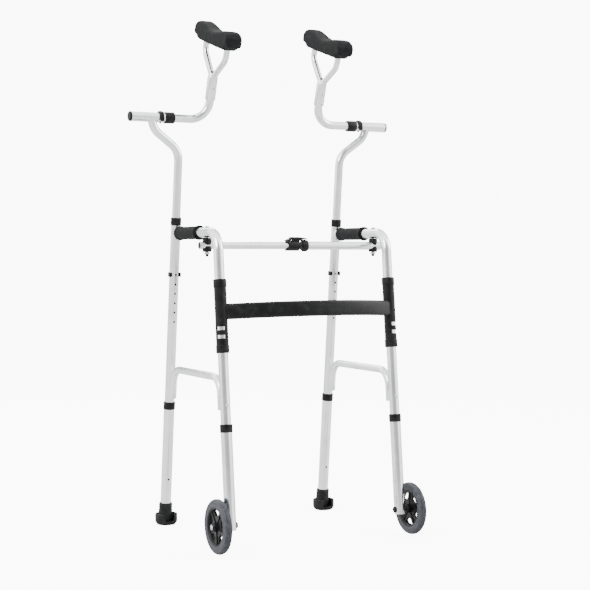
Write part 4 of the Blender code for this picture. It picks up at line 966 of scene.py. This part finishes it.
# a moulded foam rest: a saddle between two humps, an overhanging lip at each end
def armpitPad(name, side, body):
    size = padSize
    low, saddle, hump, humpAt, half = size["low"], size["saddle"], size["hump"], size["humpAt"], size["halfLength"]
    top = []
    for index in range(17):
        along = -humpAt + 2 * humpAt * index / 16
        top.append((along, saddle + (hump - saddle) * (0.5 - 0.5 * math.cos(math.pi * along / humpAt))))
    rim = [
        (half - 8, hump - 4), (half, hump - 15), (half, low + 14), (half - 3, low + 10), (half - 12, low + 10.5),
        (half - 27, low),
    ]
    points = top + rim + [(0, low - 0.5)] + [(-x, z) for x, z in reversed(rim)]
    bm = extruded(points, 2 * size["halfWidth"] - 2, placeAlong(onArmpit(side, 0, 0), leanUp, leanBack))
    middle = onArmpit(side, 0, 0)
    rims = [edge for edge in bm.edges if abs(edge.verts[0].co.x - edge.verts[1].co.x) < 1e-5]
    bmesh.ops.bevel(
        bm, geom=rims, offset=size["edgeRound"] * mm, offset_type="OFFSET", affect="EDGES", segments=5, profile=0.5,
        material=-1, clamp_overlap=False,
    )
    pad = addObject(bm, f"{name}ArmpitPad")
    remesh = pad.modifiers.new("even", "REMESH")
    remesh.mode, remesh.voxel_size, remesh.use_smooth_shade = "VOXEL", size["voxel"] * mm, True
    smooth = pad.modifiers.new("rounded", "SMOOTH")
    smooth.factor, smooth.iterations = 0.5, size["rounding"]
    applyAll(pad)
    bm = bmesh.new()
    bm.from_mesh(pad.data)
    for vert in bm.verts:
        offset = vert.co - middle
        height, across = offset.dot(leanUp) / mm, offset.x / mm
        share = (height - low) / (hump - low)
        bulge = 2.6 * math.sin(math.pi * min(1, max(0, share))) * across / size["halfWidth"]  # crowned flanks
        ripple = 0.35 * noise.noise(vert.co * perMetre(28))
        vert.co += xAxis * bulge * mm + vert.normal * ripple * mm
    bm.to_mesh(pad.data)
    bm.free()
    finer = pad.modifiers.new("finer", "SUBSURF")
    finer.levels = finer.render_levels = 1
    for way in (-1, 1):
        foot = onArmpit(side, way * armpitSize["prongSpread"], armpitSize["prongBend"] + 5)
        tip = onArmpit(side, way * armpitSize["prongSpread"], armpitSize["prongTop"] + gap)
        helper = addObject(rod(armpitSize["prongR"] + gap, foot, tip, 64), "helper")
        modifier = pad.modifiers.new("socket", "BOOLEAN")
        modifier.operation, modifier.solver, modifier.object = cut, "EXACT", helper
    applyAll(pad)
    for helper in [obj for obj in bpy.data.objects if obj.name.startswith("helper")]:
        bpy.data.objects.remove(helper)
    handOver(pad, body, "foam", [f"{name}_armpit_pad"])


for sideName, sideSign in sides.items():
    sideFrame(sideName, sideSign)
    frontLeg(sideName, sideSign)
    rearLeg(sideName, sideSign)
    barHalf(sideName, sideSign)
    crutch(sideName, sideSign)
    armpitRest(sideName, sideSign)
    print(sideName, "side built")
frontBrace()
clasp()
print("front brace and clasp built")


# floor, light and camera

studio = {
    "floorR": 40.0, "floorColour": "#C8C8C8", "floorGlow": 8.4, "skySeen": 10.0, "skyLight": 3.8,
    # from behind the camera, through the sides, to behind the walker
    "skyBands": [
        (0.0, "#7A7A7A"), (0.12, "#8A8A8A"), (0.26, "#FFFFFF"), (0.74, "#FFFFFF"), (0.9, "#5A5A5A"), (1.0, "#5A5A5A"),
    ],
    "cameraAt": (-1.6764, -3.3123, 0.7377), "cameraTurn": (88.21, 0.0, -27.30), "lens": 86.38,
    "lookingAlong": (0.459, 0.889, 0.0),
    "lamps": {
        "key": ((-2.6, -1.4, 2.6), 110, 1.8), "fill": ((2.8, -1.0, 2.2), 80, 1.8), "back": ((0.4, 2.8, 2.8), 90, 2.2),
    },
}


# white paper that glows only where the camera looks at it, so that the shadows stay faint
def layFloor():
    disc = bmesh.new()
    bmesh.ops.create_circle(disc, cap_ends=True, radius=studio["floorR"], segments=96)
    floor = addObject(disc, "floor")
    paper, shader = startMaterial("studio paper")
    shader.inputs["Base Color"].default_value = linearColour(studio["floorColour"])
    shader.inputs["Roughness"].default_value = 0.6
    seen = addNode(paper, "ShaderNodeLightPath").outputs["Is Camera Ray"]
    glow = addNode(paper, "ShaderNodeMath", {0: seen, 1: studio["floorGlow"]}, operation="MULTIPLY")
    shader.inputs["Emission Color"].default_value = (1, 1, 1, 1)
    paper.node_tree.links.new(glow.outputs[0], shader.inputs["Emission Strength"])
    floor.data.materials.append(paper)


# the camera sees a white wall, and the tubes mirror bands of white and grey
def lightSky():
    world = bpy.data.worlds.new("studio")
    bpy.context.scene.world = world
    world.use_nodes = True
    background = world.node_tree.nodes["Background"]
    direction = addNode(world, "ShaderNodeTexCoord").outputs["Generated"]
    away = addNode(world, "ShaderNodeVectorMath", {0: direction, 1: studio["lookingAlong"]}, operation="DOT_PRODUCT")
    turn = addNode(world, "ShaderNodeMapRange", {"Value": away.outputs["Value"], "From Min": -1.0, "From Max": 1.0})
    bands = addNode(world, "ShaderNodeValToRGB", {"Fac": turn}, ramp=studio["skyBands"])
    bright = addNode(world, "ShaderNodeMath", {0: bands, 1: studio["skyLight"]}, operation="MULTIPLY")
    fromCamera = addNode(world, "ShaderNodeLightPath").outputs["Is Camera Ray"]
    behind = addNode(world, "ShaderNodeMath", {0: fromCamera, 1: studio["skySeen"]}, operation="MULTIPLY")
    seen = addNode(world, "ShaderNodeMath", {0: behind, 1: bright}, operation="MAXIMUM")
    world.node_tree.links.new(seen.outputs[0], background.inputs["Strength"])
    background.inputs["Color"].default_value = (1, 1, 1, 1)


def setUp(name, data, place):
    stand = bpy.data.objects.new(name, data)
    bpy.context.scene.collection.objects.link(stand)
    stand.location = place
    return stand


def hangLamps():
    for name, (place, power, size) in studio["lamps"].items():
        lamp = bpy.data.lights.new(name, "AREA")
        lamp.energy, lamp.size = power, size
        stand = setUp(name, lamp, place)
        stand.rotation_euler = (Vector((0, 0, 0.7)) - Vector(place)).to_track_quat("-Z", "Y").to_euler()


def placeCamera():
    camera = bpy.data.cameras.new("camera")
    camera.lens, camera.sensor_width, camera.clip_end = studio["lens"], 36.0, 60.0
    tripod = setUp("camera", camera, studio["cameraAt"])
    tripod.rotation_euler = [math.radians(angle) for angle in studio["cameraTurn"]]
    bpy.context.scene.camera = tripod


layFloor()
lightSky()
hangLamps()
placeCamera()
print("studio ready")
